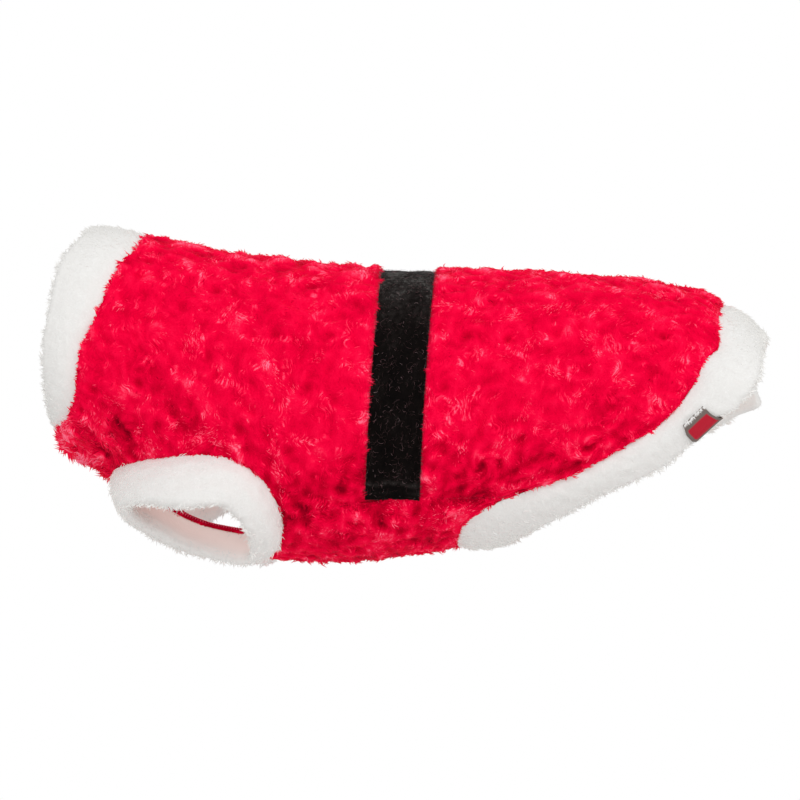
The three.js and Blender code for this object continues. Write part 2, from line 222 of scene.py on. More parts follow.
def shellFaces(rows, columns, step):
    # A closed wall: a fine outer grid, an inner grid of every step-th point, and a rim of
    # three-sided faces between their edges.
    coarseRows, coarseColumns = (rows - 1) // step + 1, (columns - 1) // step + 1
    first = rows * columns
    outer = gridFaces(rows, columns)
    inner = gridFaces(coarseRows, coarseColumns, first=first)[:, ::-1]
    fine = lambda i, j: i * columns + j
    coarse = lambda i, j: first + i * coarseColumns + j
    rim = []
    edges = [
        (lambda k: fine(0, k), lambda k: coarse(0, k), coarseColumns),
        (lambda k: fine(k, columns - 1), lambda k: coarse(k, coarseColumns - 1), coarseRows),
        (lambda k: fine(rows - 1, columns - 1 - k),
         lambda k: coarse(coarseRows - 1, coarseColumns - 1 - k), coarseColumns),
        (lambda k: fine(rows - 1 - k, 0), lambda k: coarse(coarseRows - 1 - k, 0), coarseRows),
    ]
    half = step // 2
    for outside, inside, count in edges:
        k = np.arange(count - 1)
        for n in range(step):
            near = inside(k) if n < half else inside(k + 1)
            rim.append(np.stack([outside(k * step + n), near, outside(k * step + n + 1)], axis=-1))
        rim.append(np.stack([inside(k), inside(k + 1), outside(k * step + half)], axis=-1))
    return [outer, inner, np.concatenate(rim)]


def shell(outer, inner, step):
    # Points and faces of a closed wall between a fine grid and one of every step-th point.
    points = np.concatenate([outer.reshape(-1, 3), inner.reshape(-1, 3)])
    return points, facingOut(points, shellFaces(*outer.shape[:2], step))


def ring(grid):
    # Points and faces of a tube that closes on itself both ways.
    points = grid.reshape(-1, 3)
    return points, facingOut(points, [gridFaces(*grid.shape[:2], True, True)])


def strands(name, root, normal, comb, size, material):
    # Leaf-shaped locks of fibre, four faces in all: each starts under the surface, is widest
    # two fifths of the way along and ends in a point. comb is the way that it lies; size has
    # arrays of length, width, lift in degrees, curl sideways and tone, and how much darker
    # the root and lighter the tip are, as painted shade deep in the pile and painted light
    # on the tips. Its upper side shades with the cloth that it lies on, and its underside,
    # marked as backing, glows a little as painted light in place of light let through.
    along = unit(comb - normal * np.sum(comb * normal, axis=1, keepdims=True))
    across = np.cross(normal, along)
    length, width = size["length"][:, None], size["width"][:, None]
    lift, curl = np.radians(size["lift"])[:, None], size["curl"][:, None]
    rise = along * np.cos(lift) + normal * np.sin(lift)
    middle = root + rise * length * 0.42
    bent = unit(along * np.cos(lift * 0.5) + normal * np.sin(lift * 0.5) + across * curl)
    tip = middle + bent * length * 0.58
    sideways = across * width / 2
    points = np.stack([root - normal * 0.4, middle - sideways, middle + sideways, tip], axis=1)
    leaf = np.array([[0, 1, 2], [1, 3, 2], [0, 3, 1], [0, 2, 3]])
    faces = (np.arange(len(root))[:, None, None] * 4 + leaf[None]).reshape(-1, 3)
    tone = size["tone"][:, None] + np.outer(size["tip"], [0, 0, 0, 1])
    tone = tone - np.outer(size["root"], [1, 0, 0, 0])
    piece = makeMesh(name, points.reshape(-1, 3), [faces], material, tone=tone)
    isUnder = np.tile(np.repeat([0, 0, 1, 1], 3), len(root)).astype(np.float32)
    piece.data.attributes.new("backing", "FLOAT", "CORNER").data.foreach_set("value", isUnder)
    corners = points[:, leaf]
    under = unit(np.cross(corners[:, :, 1] - corners[:, :, 0], corners[:, :, 2] - corners[:, :, 0]))
    shade = np.where(np.arange(4)[None, :, None] < 2, normal[:, None], under)
    shade = np.repeat(shade.reshape(-1, 3), 3, axis=0)
    piece.data.normals_split_custom_set(shade.astype(np.float32).tolist())
    # locks this fine let light through, so they throw no shadow of their own
    piece.visible_shadow = False
    piece.visible_diffuse = False
    return piece


def tubes(paths, out, half):
    # Threads of three-cornered section along paths (thread, place along it, xyz), closed at
    # their ends: returns their points and faces. out is the way that one corner points.
    side = unit(np.cross(unit(np.gradient(paths, axis=1)), out))
    corners = [out, side * 0.87 - out * 0.5, -(side * 0.87 + out * 0.5)]
    points = np.stack([paths + corner * half for corner in corners], axis=2)
    n, m = points.shape[:2]
    k, c = np.arange(m - 1)[:, None] * 3, np.arange(3)[None, :]
    after = (c + 1) % 3
    wall = np.stack([k + c, k + after, k + 3 + after, k + 3 + c], axis=-1).reshape(-1, 4)
    ends = np.array([[0, 2, 1], [3 * m - 3, 3 * m - 2, 3 * m - 1]])
    start = np.arange(n)[:, None, None] * 3 * m
    flat = points.reshape(-1, 3)
    return flat, facingOut(flat, [(start + wall).reshape(-1, 4), (start + ends).reshape(-1, 3)])


def scatter(points, count, seed, weight=None):
    # Random spots on a grid of points, as many on each cell as its area and weight give:
    # returns their rows and columns, with parts of a cell, to read any other grid with.
    dice = np.random.default_rng(seed)
    a = points[1:, :-1] - points[:-1, :-1]
    b = points[:-1, 1:] - points[:-1, :-1]
    area = np.linalg.norm(np.cross(a, b), axis=-1)
    if weight is not None:
        area = area * weight[:-1, :-1]
    share = np.cumsum(area.ravel())
    cell = np.searchsorted(share, dice.uniform(0, share[-1], count))
    i, j = np.unravel_index(np.minimum(cell, area.size - 1), area.shape)
    return i + dice.uniform(0, 1, count), j + dice.uniform(0, 1, count)


def readGrid(values, spots):
    # Values of a grid at scattered spots, mixed from the four corners of each cell.
    i = np.clip(np.floor(spots[0]).astype(int), 0, values.shape[0] - 2)
    j = np.clip(np.floor(spots[1]).astype(int), 0, values.shape[1] - 2)
    u, v = np.clip(spots[0] - i, 0, 1), np.clip(spots[1] - j, 0, 1)
    u, v = (u, v) if values.ndim == 2 else (u[:, None], v[:, None])
    low = values[i, j] * (1 - v) + values[i, j + 1] * v
    high = values[i + 1, j] * (1 - v) + values[i + 1, j + 1] * v
    return low * (1 - u) + high * u


def gridNormals(points, outward):
    # Surface normals of a grid of points, on the side of outward.
    a = np.gradient(points, axis=0)
    b = np.gradient(points, axis=1)
    n = unit(np.cross(a, b))
    sign = np.sign(np.sum(n * outward, axis=-1, keepdims=True))
    return n * np.where(sign == 0, 1, sign)


def colour(red, green, blue):
    # A colour given as 0 to 255 on screen, as the renderer wants it.
    c = np.array([red, green, blue]) / 255
    linear = np.where(c <= 0.04045, c / 12.92, ((c + 0.055) / 1.055) ** 2.4)
    return (*linear, 1.0)


def addNode(tree, kind, inputs, **settings):
    # A node with some settings; its inputs are values or the outputs of other nodes.
    node = tree.nodes.new(f"ShaderNode{kind}")
    for key, value in settings.items():
        setattr(node, key, value)
    feed(tree, node, inputs)
    return node


def feed(tree, node, inputs):
    # Sets or links a node's inputs.
    for label, value in inputs.items():
        if isinstance(value, bpy.types.NodeSocket):
            tree.links.new(value, node.inputs[label])
        else:
            node.inputs[label].default_value = value


def attribute(tree, name):
    return addNode(tree, "Attribute", {}, attribute_name=name).outputs["Fac"]


def math(tree, operation, *values):
    return addNode(tree, "Math", dict(enumerate(values)), operation=operation).outputs[0]


def nodeGroup(name, inputs, outputs):
    # An empty group with its inputs (label, value) and outputs (label, kind).
    group = bpy.data.node_groups.new(name, "ShaderNodeTree")
    for label, value in inputs:
        made = group.interface.new_socket(label, in_out="INPUT", socket_type="NodeSocketFloat")
        made.default_value = value
    for label, kind in outputs:
        group.interface.new_socket(label, in_out="OUTPUT", socket_type=kind)
    return group, group.nodes.new("NodeGroupInput").outputs, group.nodes.new("NodeGroupOutput")


def newMaterial(name):
    # A material, its node tree and its shader.
    material = bpy.data.materials.new(name)
    material.use_nodes = True
    return material, material.node_tree, material.node_tree.nodes["Principled BSDF"]


def fibreGroup():
    # Fine fibres. A noise stretched along one way, in a space that a slow noise has stirred
    # round, gives curved streaks; with a short even noise they make the grain and its bump.
    # Here and there, where another slow noise is high, the streaks come out as bright patches: painted
    # sheen highlights.
    group, given, result = nodeGroup(
        "fibreGrain",
        [("Along", 220.0), ("Across", 1400.0), ("Stir", 0.016), ("Patches", 130.0), ("Depth", 0.4),
         ("Distance", 0.0006)],
        [("Grain", "NodeSocketFloat"), ("SheenPatch", "NodeSocketFloat"), ("Normal", "NodeSocketVector")],
    )

    def noise(vector, scale, detail):
        return addNode(group, "TexNoise", {"Vector": vector, "Scale": scale, "Detail": detail}).outputs

    def between(value, low, high):
        limits = {"Value": value, "From Min": low, "From Max": high}
        return addNode(group, "MapRange", limits, interpolation_type="SMOOTHSTEP").outputs["Result"]

    def vectorMath(operation, a, b):
        second = "Scale" if operation == "SCALE" else 1
        return addNode(group, "VectorMath", {0: a, second: b}, operation=operation).outputs[0]

    place = group.nodes.new("ShaderNodeTexCoord").outputs["Object"]
    stir = vectorMath("SUBTRACT", noise(place, 85.0, 1)["Color"], (0.5, 0.5, 0.5))
    stirred = vectorMath("ADD", vectorMath("SCALE", stir, given["Stir"]), place)
    stretch = addNode(group, "CombineXYZ", {"X": given["Across"], "Y": given["Along"], "Z": given["Along"]})
    streak = noise(vectorMath("MULTIPLY", stirred, stretch.outputs[0]), 1.0, 2)["Fac"]
    fine = noise(place, given["Across"], 2)["Fac"]
    grain = math(group, "MULTIPLY", math(group, "ADD", streak, fine), 0.5)
    patch = between(noise(place, given["Patches"], 1)["Fac"], 0.53, 0.68)
    patch = math(group, "MULTIPLY", patch, between(streak, 0.42, 0.64))
    heights = {"Height": grain, "Strength": given["Depth"], "Distance": given["Distance"]}
    bump = addNode(group, "Bump", heights)
    feed(group, result, {"Grain": grain, "SheenPatch": patch, "Normal": bump.outputs["Normal"]})
    return group


fibreGrain = fibreGroup()


def pileMaterial(name, look):
    # A pile cloth: its colour goes from root to tip with the tone that each vertex carries, roughened by
    # grain and brightened by painted sheen patches, with a soft sheen; where the backing layer is 1 it
    # is bare knit, which glows a little as painted light.
    material, tree, shader = newMaterial(name)
    labels = ("Along", "Across", "Stir", "Patches", "Depth", "Distance")
    grain = tree.nodes.new("ShaderNodeGroup")
    grain.node_tree = fibreGrain
    feed(tree, grain, {label: look[label.lower()] for label in labels})
    spread = addNode(tree, "MapRange", {
        "Value": grain.outputs["Grain"], "From Min": 0.3, "From Max": 0.7,
        "To Min": -look["mottle"], "To Max": look["mottle"],
    })
    # painted sheen highlights: bright patches, added to the tone with a random mottle
    patch = math(tree, "MULTIPLY_ADD", grain.outputs["SheenPatch"], look["patch"], spread.outputs["Result"])
    ramp = addNode(tree, "ValToRGB", {"Fac": math(tree, "ADD", attribute(tree, "tone"), patch)})
    stops = ramp.color_ramp.elements
    while len(stops) < len(look["ramp"]):
        stops.new(0.5)
    for stop, (place, shade) in zip(stops, look["ramp"]):
        stop.position = place
        stop.color = colour(*shade)
    backing, knit = attribute(tree, "backing"), colour(*look["backing"])
    shades = {"Factor": backing, "A": ramp.outputs["Color"], "B": knit}
    mix = addNode(tree, "Mix", shades, data_type="RGBA")
    # the bare knit glows a little: painted light in place of light shining through the thin cloth
    glow = addNode(tree, "VectorMath", {0: knit[:3], "Scale": backing}, operation="SCALE")
    feed(tree, shader, {
        "Base Color": mix.outputs["Result"], "Emission Color": glow.outputs[0],
        "Emission Strength": look["through"], "Roughness": look["roughness"],
        "Specular IOR Level": look["specular"], "Sheen Weight": look["sheen"],
        "Sheen Roughness": look["sheenRoughness"], "Sheen Tint": colour(*look["sheenTint"]),
    })
    if look["depth"] > 0:
        feed(tree, shader, {"Normal": grain.outputs["Normal"]})
    return material


# in these looks patch sets the painted sheen patches and through the painted glow of the bare knit; the
# plush ramp's pink top is for painted sheen highlights
rosePlush = {
    "ramp": [(0.0, (120, 0, 22)), (0.3, (188, 0, 37)), (0.55, (229, 2, 53)), (0.70, (244, 12, 63)),
             (0.85, (255, 60, 96)), (1.0, (255, 112, 140))],
    "backing": (235, 209, 203),
    "along": 240, "across": 1300, "stir": 0.018, "patches": 130, "patch": 0.26,
    "depth": 0.2, "distance": 0.0006, "mottle": 0.09,
    "roughness": 0.9, "specular": 0.0, "sheen": 0.30, "sheenRoughness": 0.3,
    "sheenTint": (255, 130, 160), "through": 0.12,
}
whiteFur = {
    "ramp": [(0.0, (184, 182, 178)), (0.4, (213, 211, 208)), (0.65, (227, 226, 224)),
             (1.0, (243, 243, 242))],
    "backing": (238, 222, 217),
    "along": 300, "across": 900, "stir": 0.014, "patches": 80, "patch": 0.04,
    "depth": 0.18, "distance": 0.0006, "mottle": 0.05,
    "roughness": 0.95, "specular": 0.0, "sheen": 0.0, "sheenRoughness": 0.5,
    "sheenTint": (255, 255, 255), "through": 0.12,
}
# the velvet's ramp ends in grey for the painted sheen on its upper side
blackVelvet = {
    "ramp": [(0.0, (3, 2, 2)), (0.4, (13, 9, 8)), (0.7, (34, 30, 29)), (1.0, (78, 76, 74))],
    "backing": (24, 18, 16),
    "along": 700, "across": 1900, "stir": 0.01, "patches": 90, "patch": 0.08,
    "depth": 0.3, "distance": 0.0004, "mottle": 0.2,
    "roughness": 0.9, "specular": 0.05, "sheen": 0.06, "sheenRoughness": 0.25,
    "sheenTint": (210, 210, 215), "through": 0.0,
}
lint = {
    "ramp": [(0.0, (40, 28, 28)), (0.4, (92, 66, 68)), (0.75, (150, 118, 122)), (1.0, (205, 184, 186))],
    "backing": (120, 82, 86),
    "along": 300, "across": 900, "stir": 0.01, "patches": 100, "patch": 0.0,
    "depth": 0, "distance": 0.0002, "mottle": 0.05,
    "roughness": 0.9, "specular": 0.05, "sheen": 0.0, "sheenRoughness": 0.3,
    "sheenTint": (255, 255, 255), "through": 0.0,
}
# what differs on single locks, whose backing is their underside, glowing a little as painted light
tips = {"depth": 0, "through": 0.06}
plushMaterial = pileMaterial("rosePlush", rosePlush)
plushTips = pileMaterial("rosePlushTips", {**rosePlush, **tips, "backing": (225, 20, 64)})
lintMaterial = pileMaterial("lintFibre", lint)
furMaterial = pileMaterial("whiteFur", whiteFur)
furTips = pileMaterial("whiteFurTips", {**whiteFur, **tips, "backing": (230, 229, 226)})
hemMaterial = pileMaterial("whiteFurHem", {**whiteFur, "backing": (232, 231, 226)})
velvetMaterial = pileMaterial("blackVelvet", blackVelvet)


def armholeBulge(even):
    # How far the armhole is open at an even step from its front point to its rounder back end.
    return np.sin(np.pi * np.clip(even, 0, 1)) ** (armhole["pointed"] - armhole["rounder"] * even)


def panelRows(cell):
    # The crosswise lines at a spacing of about cell: even between the table's lines, but at
    # the side seams closer together towards both ends of the armhole.
    rows = {key: [] for key in ("spine", "seam", "belly", "backTurn", "leftTurn", "rightTurn")}
    names = lines["name"]
    for r in range(len(names) - 1):
        span = max(abs(lines[k][r + 1] - lines[k][r]) for k in ("spine", "seam"))
        steps = int(np.ceil(span / cell))
        even = np.arange(steps + (r == len(names) - 2)) / steps
        isArmhole = names[r] == "armhole front"
        s = (1 - np.cos(np.pi * even)) / 2 if isArmhole else even
        bulge = armholeBulge(even) if isArmhole else 0 * even
        for key, way in (("spine", even), ("seam", s), ("belly", even)):
            rows[key].append(lines[key][r] + (lines[key][r + 1] - lines[key][r]) * way)
        seamTurn = through(sideSeam, "x", "turn", rows["seam"][-1])
        rows["backTurn"].append(seamTurn - (armhole["up"] + armhole["upGrowth"] * s) * bulge)
        for key, growth in zip(("leftTurn", "rightTurn"), armhole["downGrowth"]):
            rows[key].append(seamTurn + (armhole["down"] + growth * s * s) * bulge)
    rows = {key: np.concatenate(value)[:, None] for key, value in rows.items()}
    beltFront, beltBack = lines["spine"][3], lines["spine"][4]
    rows["neckness"] = np.clip((rows["spine"] - beltFront) / (lines["spine"][0] - beltFront), 0, 1)
    rows["hemness"] = np.clip((rows["spine"] - beltBack) / (lines["spine"][-1] - beltBack), 0, 1)
    return rows


def drift(rows, start, v):
    # How far a line has come from its spine or belly end (start, a turn) to its seam end, at
    # a part v of the way: like the collar seam at the neck and like the hem at the tail.
    def like(table, end):
        low, high = through(table, "turn", "seam", np.array([start, end], float))
        return (through(table, "turn", "seam", start + (end - start) * v) - low) / (high - low)
    plain = 1 - rows["neckness"] - rows["hemness"]
    neckEnd, hemEnd = sideSeam["turn"][0], sideSeam["turn"][-1]
    return rows["neckness"] * like(collar, neckEnd) + rows["hemness"] * like(hem, hemEnd) + plain * v * v


def backPlaces(rows, parts):
    # x and turn of the back panel at parts from -1, the right seam, to 1, the left seam.
    v = np.abs(parts)[None, :]
    x = rows["spine"] + (rows["seam"] - rows["spine"]) * drift(rows, 0.0, v)
    x = x + lines["bow"] * (1 - rows["neckness"]) * (1 - rows["hemness"]) * np.sin(np.pi * v ** 0.75)
    return x, parts[None, :] * (rows["backTurn"] + 0.004)


def bellyPlaces(rows, parts):
    # The same for the belly panel; on the right its turns are past 180.
    v = np.abs(parts)[None, :]
    x = rows["belly"] + (rows["seam"] - rows["belly"]) * drift(rows, 180.0, v)
    isRight = parts[None, :] < 0
    turn = 180 - v * (180 - np.where(isRight, rows["rightTurn"], rows["leftTurn"]) + 0.004)
    return x, np.where(isRight, 360 - turn, turn)


roses = {
    "pitch": 24.0, "scatter": 3.0, "mound": 1.3, "dimple": 0.2, "arms": 5, "swirl": 0.13,
    "sweep": 30, "strength": (0.25, 1.25), "seed": 11,
}
creases = {  # soft troughs on the left side and, a little changed, on the right
    "fromX": [-128, -150, -64, -30, 30, -52, 96, -160],
    "fromTurn": [92, 118, 122, 112, 118, 60, 104, 140],
    "toX": [-96, -128, -40, -4, 66, -34, 128, -138],
    "toTurn": [112, 134, 131, 128, 128, 84, 92, 150],
    "width": [7, 8, 8, 7, 7, 6, 6, 8],
    "depth": [1.7, 1.5, 2.2, 1.6, 1.4, 0.9, 0.8, 1.6],
    "change": 7.0,  # how far towards the tail they are on the right
}


def rosePlaces(x, turn):
    # Flat coordinates of the pattern: along the body and round it from the spine.
    return np.stack([x, np.radians(signedTurn(turn)) * formRadius], axis=-1)


def roseCentres():
    # Staggered rows of centres, each moved a little at random.
    dice = np.random.default_rng(roses["seed"])
    pitch = roses["pitch"]
    i, j = np.meshgrid(np.arange(-10, 11), np.arange(-9, 10), indexing="ij")
    flat = np.stack([j * pitch + (i % 2) * pitch / 2, i * pitch * 0.87], axis=-1).reshape(-1, 2)
    return flat + dice.normal(size=flat.shape) * roses["scatter"]


centres = roseCentres()
strengths = np.random.default_rng(roses["seed"] + 1).uniform(*roses["strength"], len(centres))


def roseField(x, turn):
    # Height and lie of the pile. Each rose is a mound with a dimple in its middle and curled
    # arms; its fibres run round it and a little outwards.
    flat = rosePlaces(x, turn)
    shape = flat.shape[:-1]
    p = flat.reshape(-1, 2)
    first, second, nearest = np.full(len(p), 1e9), np.full(len(p), 1e9), np.zeros(len(p), int)
    for k, centre in enumerate(centres):
        d = np.hypot(*(p - centre).T)
        isNear = d < first
        second = np.where(isNear, first, np.minimum(second, d))
        nearest = np.where(isNear, k, nearest)
        first = np.where(isNear, d, first)
    away = p - centres[nearest]
    angle = np.arctan2(away[:, 1], away[:, 0])
    reach = first / (roses["pitch"] / 2)
    edge = smooth(0, 6.0, second - first)
    dimple = 1 - np.exp(-((reach / roses["dimple"]) ** 2))
    # arms along the fibres: angle - ln(distance) / tan(sweep) is the same all along one
    wind = angle - np.log(reach + 0.06) / np.tan(np.radians(roses["sweep"]))
    arm = smooth(0.08, 0.3, reach) * (1 - smooth(0.7, 1.1, reach))
    swirl = np.cos(roses["arms"] * wind + nearest) * arm
    clump = 0.36 * ripple(p, 9.0, 3, 26) + 0.15 * ripple(p, 4.5, 5, 26)
    strength = strengths[nearest]
    depth = 1 - (1 - dimple) * np.minimum(strength, 1)
    height = roses["mound"] * depth * (0.5 + 0.5 * edge) + roses["swirl"] * swirl * strength + clump
    lay = angle + np.pi / 2 - np.radians(roses["sweep"]) + 0.3 * ripple(p, 11.0, 21)
    comb = np.stack([np.cos(lay), np.sin(lay)], axis=-1)
    drift = smooth(0.1, 1.5, ripple(p, 17.0, 31, 14))
    # painted light on the relief: darker in each dimple and between roses as painted shade, lighter along
    # the arms and on the clumps; drift and the slow ripple are random tone
    tone = 0.56 + 0.09 * drift + 0.05 * swirl * strength
    tone = tone - 0.19 * (1 - dimple) * strength - 0.04 * (1 - edge)
    tone = tone + 0.035 * ripple(p, 30.0, 15, 12) + 0.10 * clump
    made = {"height": height, "reach": reach, "drift": drift, "tone": tone}
    made = {key: value.reshape(shape) for key, value in made.items()}
    return {**made, "comb": comb.reshape(*shape, 2)}


def creaseDepth(x, turn):
    # Each crease is a line on the form; it is deepest on the line and runs out at its ends.
    depth = np.zeros(np.shape(x))
    for side, change in ((1, 0.0), (-1, creases["change"])):
        here = rosePlaces(x, side * signedTurn(turn))
        for k, (width, deep) in enumerate(zip(creases["width"], creases["depth"])):
            a, b = (rosePlaces(creases[end + "X"][k] + change, creases[end + "Turn"][k])
                    for end in ("from", "to"))
            run = b - a
            t = np.clip(((here - a) @ run) / (run @ run), 0, 1)
            off = np.linalg.norm(here - a - t[..., None] * run, axis=-1)
            ends = 0.35 + 0.65 * np.sin(np.pi * t)
            depth = np.maximum(depth, deep * ends * np.exp(-((off / width) ** 2)))
    return depth


def seamDip(x, turn):
    # The cloth is pulled in along the side seams, less so in front of the armholes.
    off = np.radians(np.abs(signedTurn(turn)) - through(sideSeam, "x", "turn", x)) * formRadius
    return (sideSeam["depth"] + smooth(-150, -110, x)) * np.exp(-((off / sideSeam["width"]) ** 2))


def surfaceWays(x, turn, lift=3.0):
    # Unit vectors on the form, by default in the pile, along the body and round it.
    along = onForm(x + 0.5, turn, lift) - onForm(x - 0.5, turn, lift)
    around = onForm(x, turn + 0.5, lift) - onForm(x, turn - 0.5, lift)
    return unit(along), unit(around)


panels = {
    "cell": 1.45, "step": 4, "wall": 3.7, "sunk": 0.8, "thinnest": 1.2, "rim": 2.4,
    "rimWidth": 2.0, "pressed": 1.3, "halfGirth": 168.0, "halfBelly": 40.0,
}
unevenness = {  # sizes and heights of the plush's lumps: on the back, the chest and all round
    "back": 24.0, "chest": 12.0, "chestHeight": 0.9, "petals": 7.5, "height": 0.6, "petalHeight": 0.25,
    "tip": 5.5, "tipX": -175, "tipWidth": 7,  # the swelling at the tip of the chest
    "chestLimits": (-160, -128, 112, 142),  # two x, then two turns from the spine
}
nap = {"length": (1.8, 3.8), "width": (0.22, 0.40), "lift": (0, 8), "root": 0.0, "tip": 0.02}
# bright clusters of locks that are painted sheen highlights
sheenFlames = {
    "tries": 2600, "reach": 0.35, "drift": 0.03,  # the least of the rose pattern under them
    "apart": 7.5, "strands": 36, "long": 2.4, "wide": 1.3, "tone": (0.70, 0.94),
    "length": (1.6, 4.0), "width": (0.20, 0.38), "lift": (1, 12), "root": 0.12, "tip": 0.0,
}
spikes = {
    "length": (1.3, 3.0), "width": (0.35, 0.75), "lift": (8, 40), "root": 0.06, "tip": 0.08,
    "chest": (-158, -132, 125, 150),
}
fringe = {
    "every": 0.2, "everyPlain": 0.36, "everyBelly": 0.24,
    "length": (1.8, 4.8), "width": (0.32, 0.75), "lift": (8, 32), "root": 0.06, "tip": 0.06,
}
tufts = {"apart": 3.4, "long": (2.6, 6.4), "longest": 8.0, "stray": 0.16}
ruff = {
    "length": (1.3, 3.0), "width": (0.45, 0.9), "lift": (14, 48), "root": 0.18, "tip": 0.14,
    "apart": 5.4, "grow": 1.15, "chest": (-164, -136, 112, 140),
}
beltFringe = {"length": (1.8, 4.8), "width": (0.16, 0.34), "lift": (2, 24), "root": 0.0, "tip": 0.12}
pile = {  # how many locks a quarter of the back has, and the belly
    "nap": 8500, "spikes": 2400, "ruff": 700, "bellyNap": 7000, "bellySpikes": 5600, "bellyRuff": 1300,
}


def partsOver(length):
    # Parts from -1 to 1 at steps of about a cell on each half's length, in a number that the
    # coarse inner grid divides.
    step = panels["step"]
    half = int(np.ceil(length / panels["cell"] / step)) * step
    return np.linspace(-1, 1, 2 * half + 1)


def trimRows(rows, step):
    # The same rows, with as many as the coarse inner grid needs.
    count = len(rows["spine"])
    wanted = ((count - 2) // step + 1) * step + 1
    place = np.linspace(0, count - 1, wanted)
    index = np.arange(count)
    return {key: np.interp(place, index, value[:, 0])[:, None] for key, value in rows.items()}


def fromEdge(count):
    # How many steps each row or column is from the nearer end.
    return np.minimum(np.arange(count), np.arange(count)[::-1])


def chestShare(x, turn, limits):
    # 1 on the chest and 0 off it, with soft steps along the body and round it.
    return (1 - smooth(*limits[:2], x)) * smooth(*limits[2:], fromSpine(turn))


def pressedUnderBelt(rows, shape):
    # 1 on the strip that the belt covers, 0 off it.
    front, back = lines["spine"][3], lines["spine"][4]
    half = (back - front) / 2
    off = np.abs(rows["spine"] - (front + back) / 2)
    return np.broadcast_to(1 - smooth(half - 0.4, half + 1.6, off), shape)


def panelSurface(places, rows, parts, isBack):
    # The cloth's outside over the hollow: wall + roses - creases - seam, less at its rim, and
    # pressed flat under the belt.
    x, turn = places(rows, parts)
    field = roseField(x, turn)
    crease, dip = creaseDepth(x, turn), seamDip(x, turn)
    rim = np.minimum(fromEdge(x.shape[0])[:, None], fromEdge(x.shape[1])[None, :])
    inside = smooth(-0.3, panels["rimWidth"], rim * panels["cell"])
    pressed = pressedUnderBelt(rows, x.shape) if isBack else np.zeros(x.shape)
    down = fromSpine(turn)
    low, high = smooth(92, 128, down), 1 - smooth(14, 42, down)
    flat, uneven = rosePlaces(x, turn), unevenness
    chest = chestShare(x, turn, uneven["chestLimits"])
    lumps = high * ripple(flat, uneven["back"], 61, 12)
    lumps = lumps + uneven["chestHeight"] * chest * ripple(flat, uneven["chest"], 62, 22)
    petals = (low - 0.5 * chest) * ripple(flat, uneven["petals"], 64, 26)
    atTip = np.exp(-(((x - uneven["tipX"]) / uneven["tipWidth"]) ** 2))
    lumps = lumps + uneven["tip"] * smooth(128, 150, down) * atTip
    relief = panels["wall"] + field["height"] - panels["sunk"] - dip - crease
    relief = relief + uneven["height"] * lumps + uneven["petalHeight"] * petals
    relief = np.maximum(relief, panels["thinnest"])
    relief = panels["rim"] + (relief - panels["rim"]) * inside
    relief = relief * (1 - pressed) + panels["pressed"] * pressed
    # painted light: lighter near the spine, darker towards the belly, the roses' tone stronger on both
    tone = 0.6 + (field["tone"] - 0.6) * (1 + 1.0 * low + 0.6 * high) - 0.03 * low + 0.07 * high
    # lighter on the lumps and petals as painted light on the relief; the chest's ripple is random tone
    tone = tone + 0.10 * lumps + 0.05 * petals + 0.07 * chest * ripple(flat, 8.0, 63, 22)
    # painted shade in the creases and in the seam's dip
    tone = tone - 0.10 * crease - 0.06 * dip
    points = onForm(x, turn, relief)
    return {
        "x": x, "turn": turn, "points": points, "tone": tone, "pressed": pressed,
        "normal": gridNormals(points, points - onForm(x, turn, relief - 1)),
    }


def makePanel(name, node, places, rows, parts, isBack):
    # One of the two panels, with its bare knit inside, and the surface that its pile grows on.
    surface = panelSurface(places, rows, parts, isBack)
    outer, step = surface["points"], panels["step"]
    inner = onForm(surface["x"], surface["turn"], 0.0)[::step, ::step]
    points, faces = shell(outer, inner, step)
    count = outer.shape[0] * outer.shape[1]
    bare = np.ones(inner.shape[:2])
    bare[[0, -1]] = bare[:, [0, -1]] = 0  # the rim keeps the pile's colour
    backing = np.concatenate([np.zeros(count), bare.ravel()])
    tone = np.concatenate([surface["tone"].ravel(), np.full(len(points) - count, 0.4)])
    piece = makeMesh(name, points, faces, plushMaterial, tone=tone, backing=backing)
    # the rim is flat, so that no dark line runs along it where two panels meet
    total = len(piece.data.polygons)
    piece.data.polygons.foreach_set("use_smooth", np.arange(total) < total - len(faces[2]))
    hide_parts(node)
    return piece, surface


def locks(surface, spots, lay, style, tone, dice, grow=1.0):
    # One lot of locks at some spots of a panel: lay is the angle, in radians, between them and
    # the body's length; lengths and widths are evenly spread between the style's limits.
    count = len(spots[0])
    x, turn = readGrid(surface["x"], spots), readGrid(surface["turn"], spots)
    along, around = surfaceWays(x, turn)
    comb = along * np.cos(lay)[:, None] + around * np.sin(lay)[:, None]
    return {
        "place": readGrid(surface["points"], spots),
        "normal": unit(readGrid(surface["normal"], spots)),
        "comb": comb, "length": dice.uniform(*style["length"], count) * grow,
        "width": dice.uniform(*style["width"], count), "lift": dice.uniform(*style["lift"], count),
        "curl": 0.10 * dice.normal(size=count), "tone": np.clip(tone, 0.02, 1),
        "root": np.full(count, style["root"]), "tip": np.full(count, style["tip"]),
    }


def layAt(surface, spots):
    # At some spots: the direction of the rose pattern's fibres, the pattern's values and the
    # flat coordinates.
    x, turn = readGrid(surface["x"], spots), readGrid(surface["turn"], spots)
    field = roseField(x, turn)
    return np.arctan2(*field["comb"].T[::-1]), field, rosePlaces(x, turn)


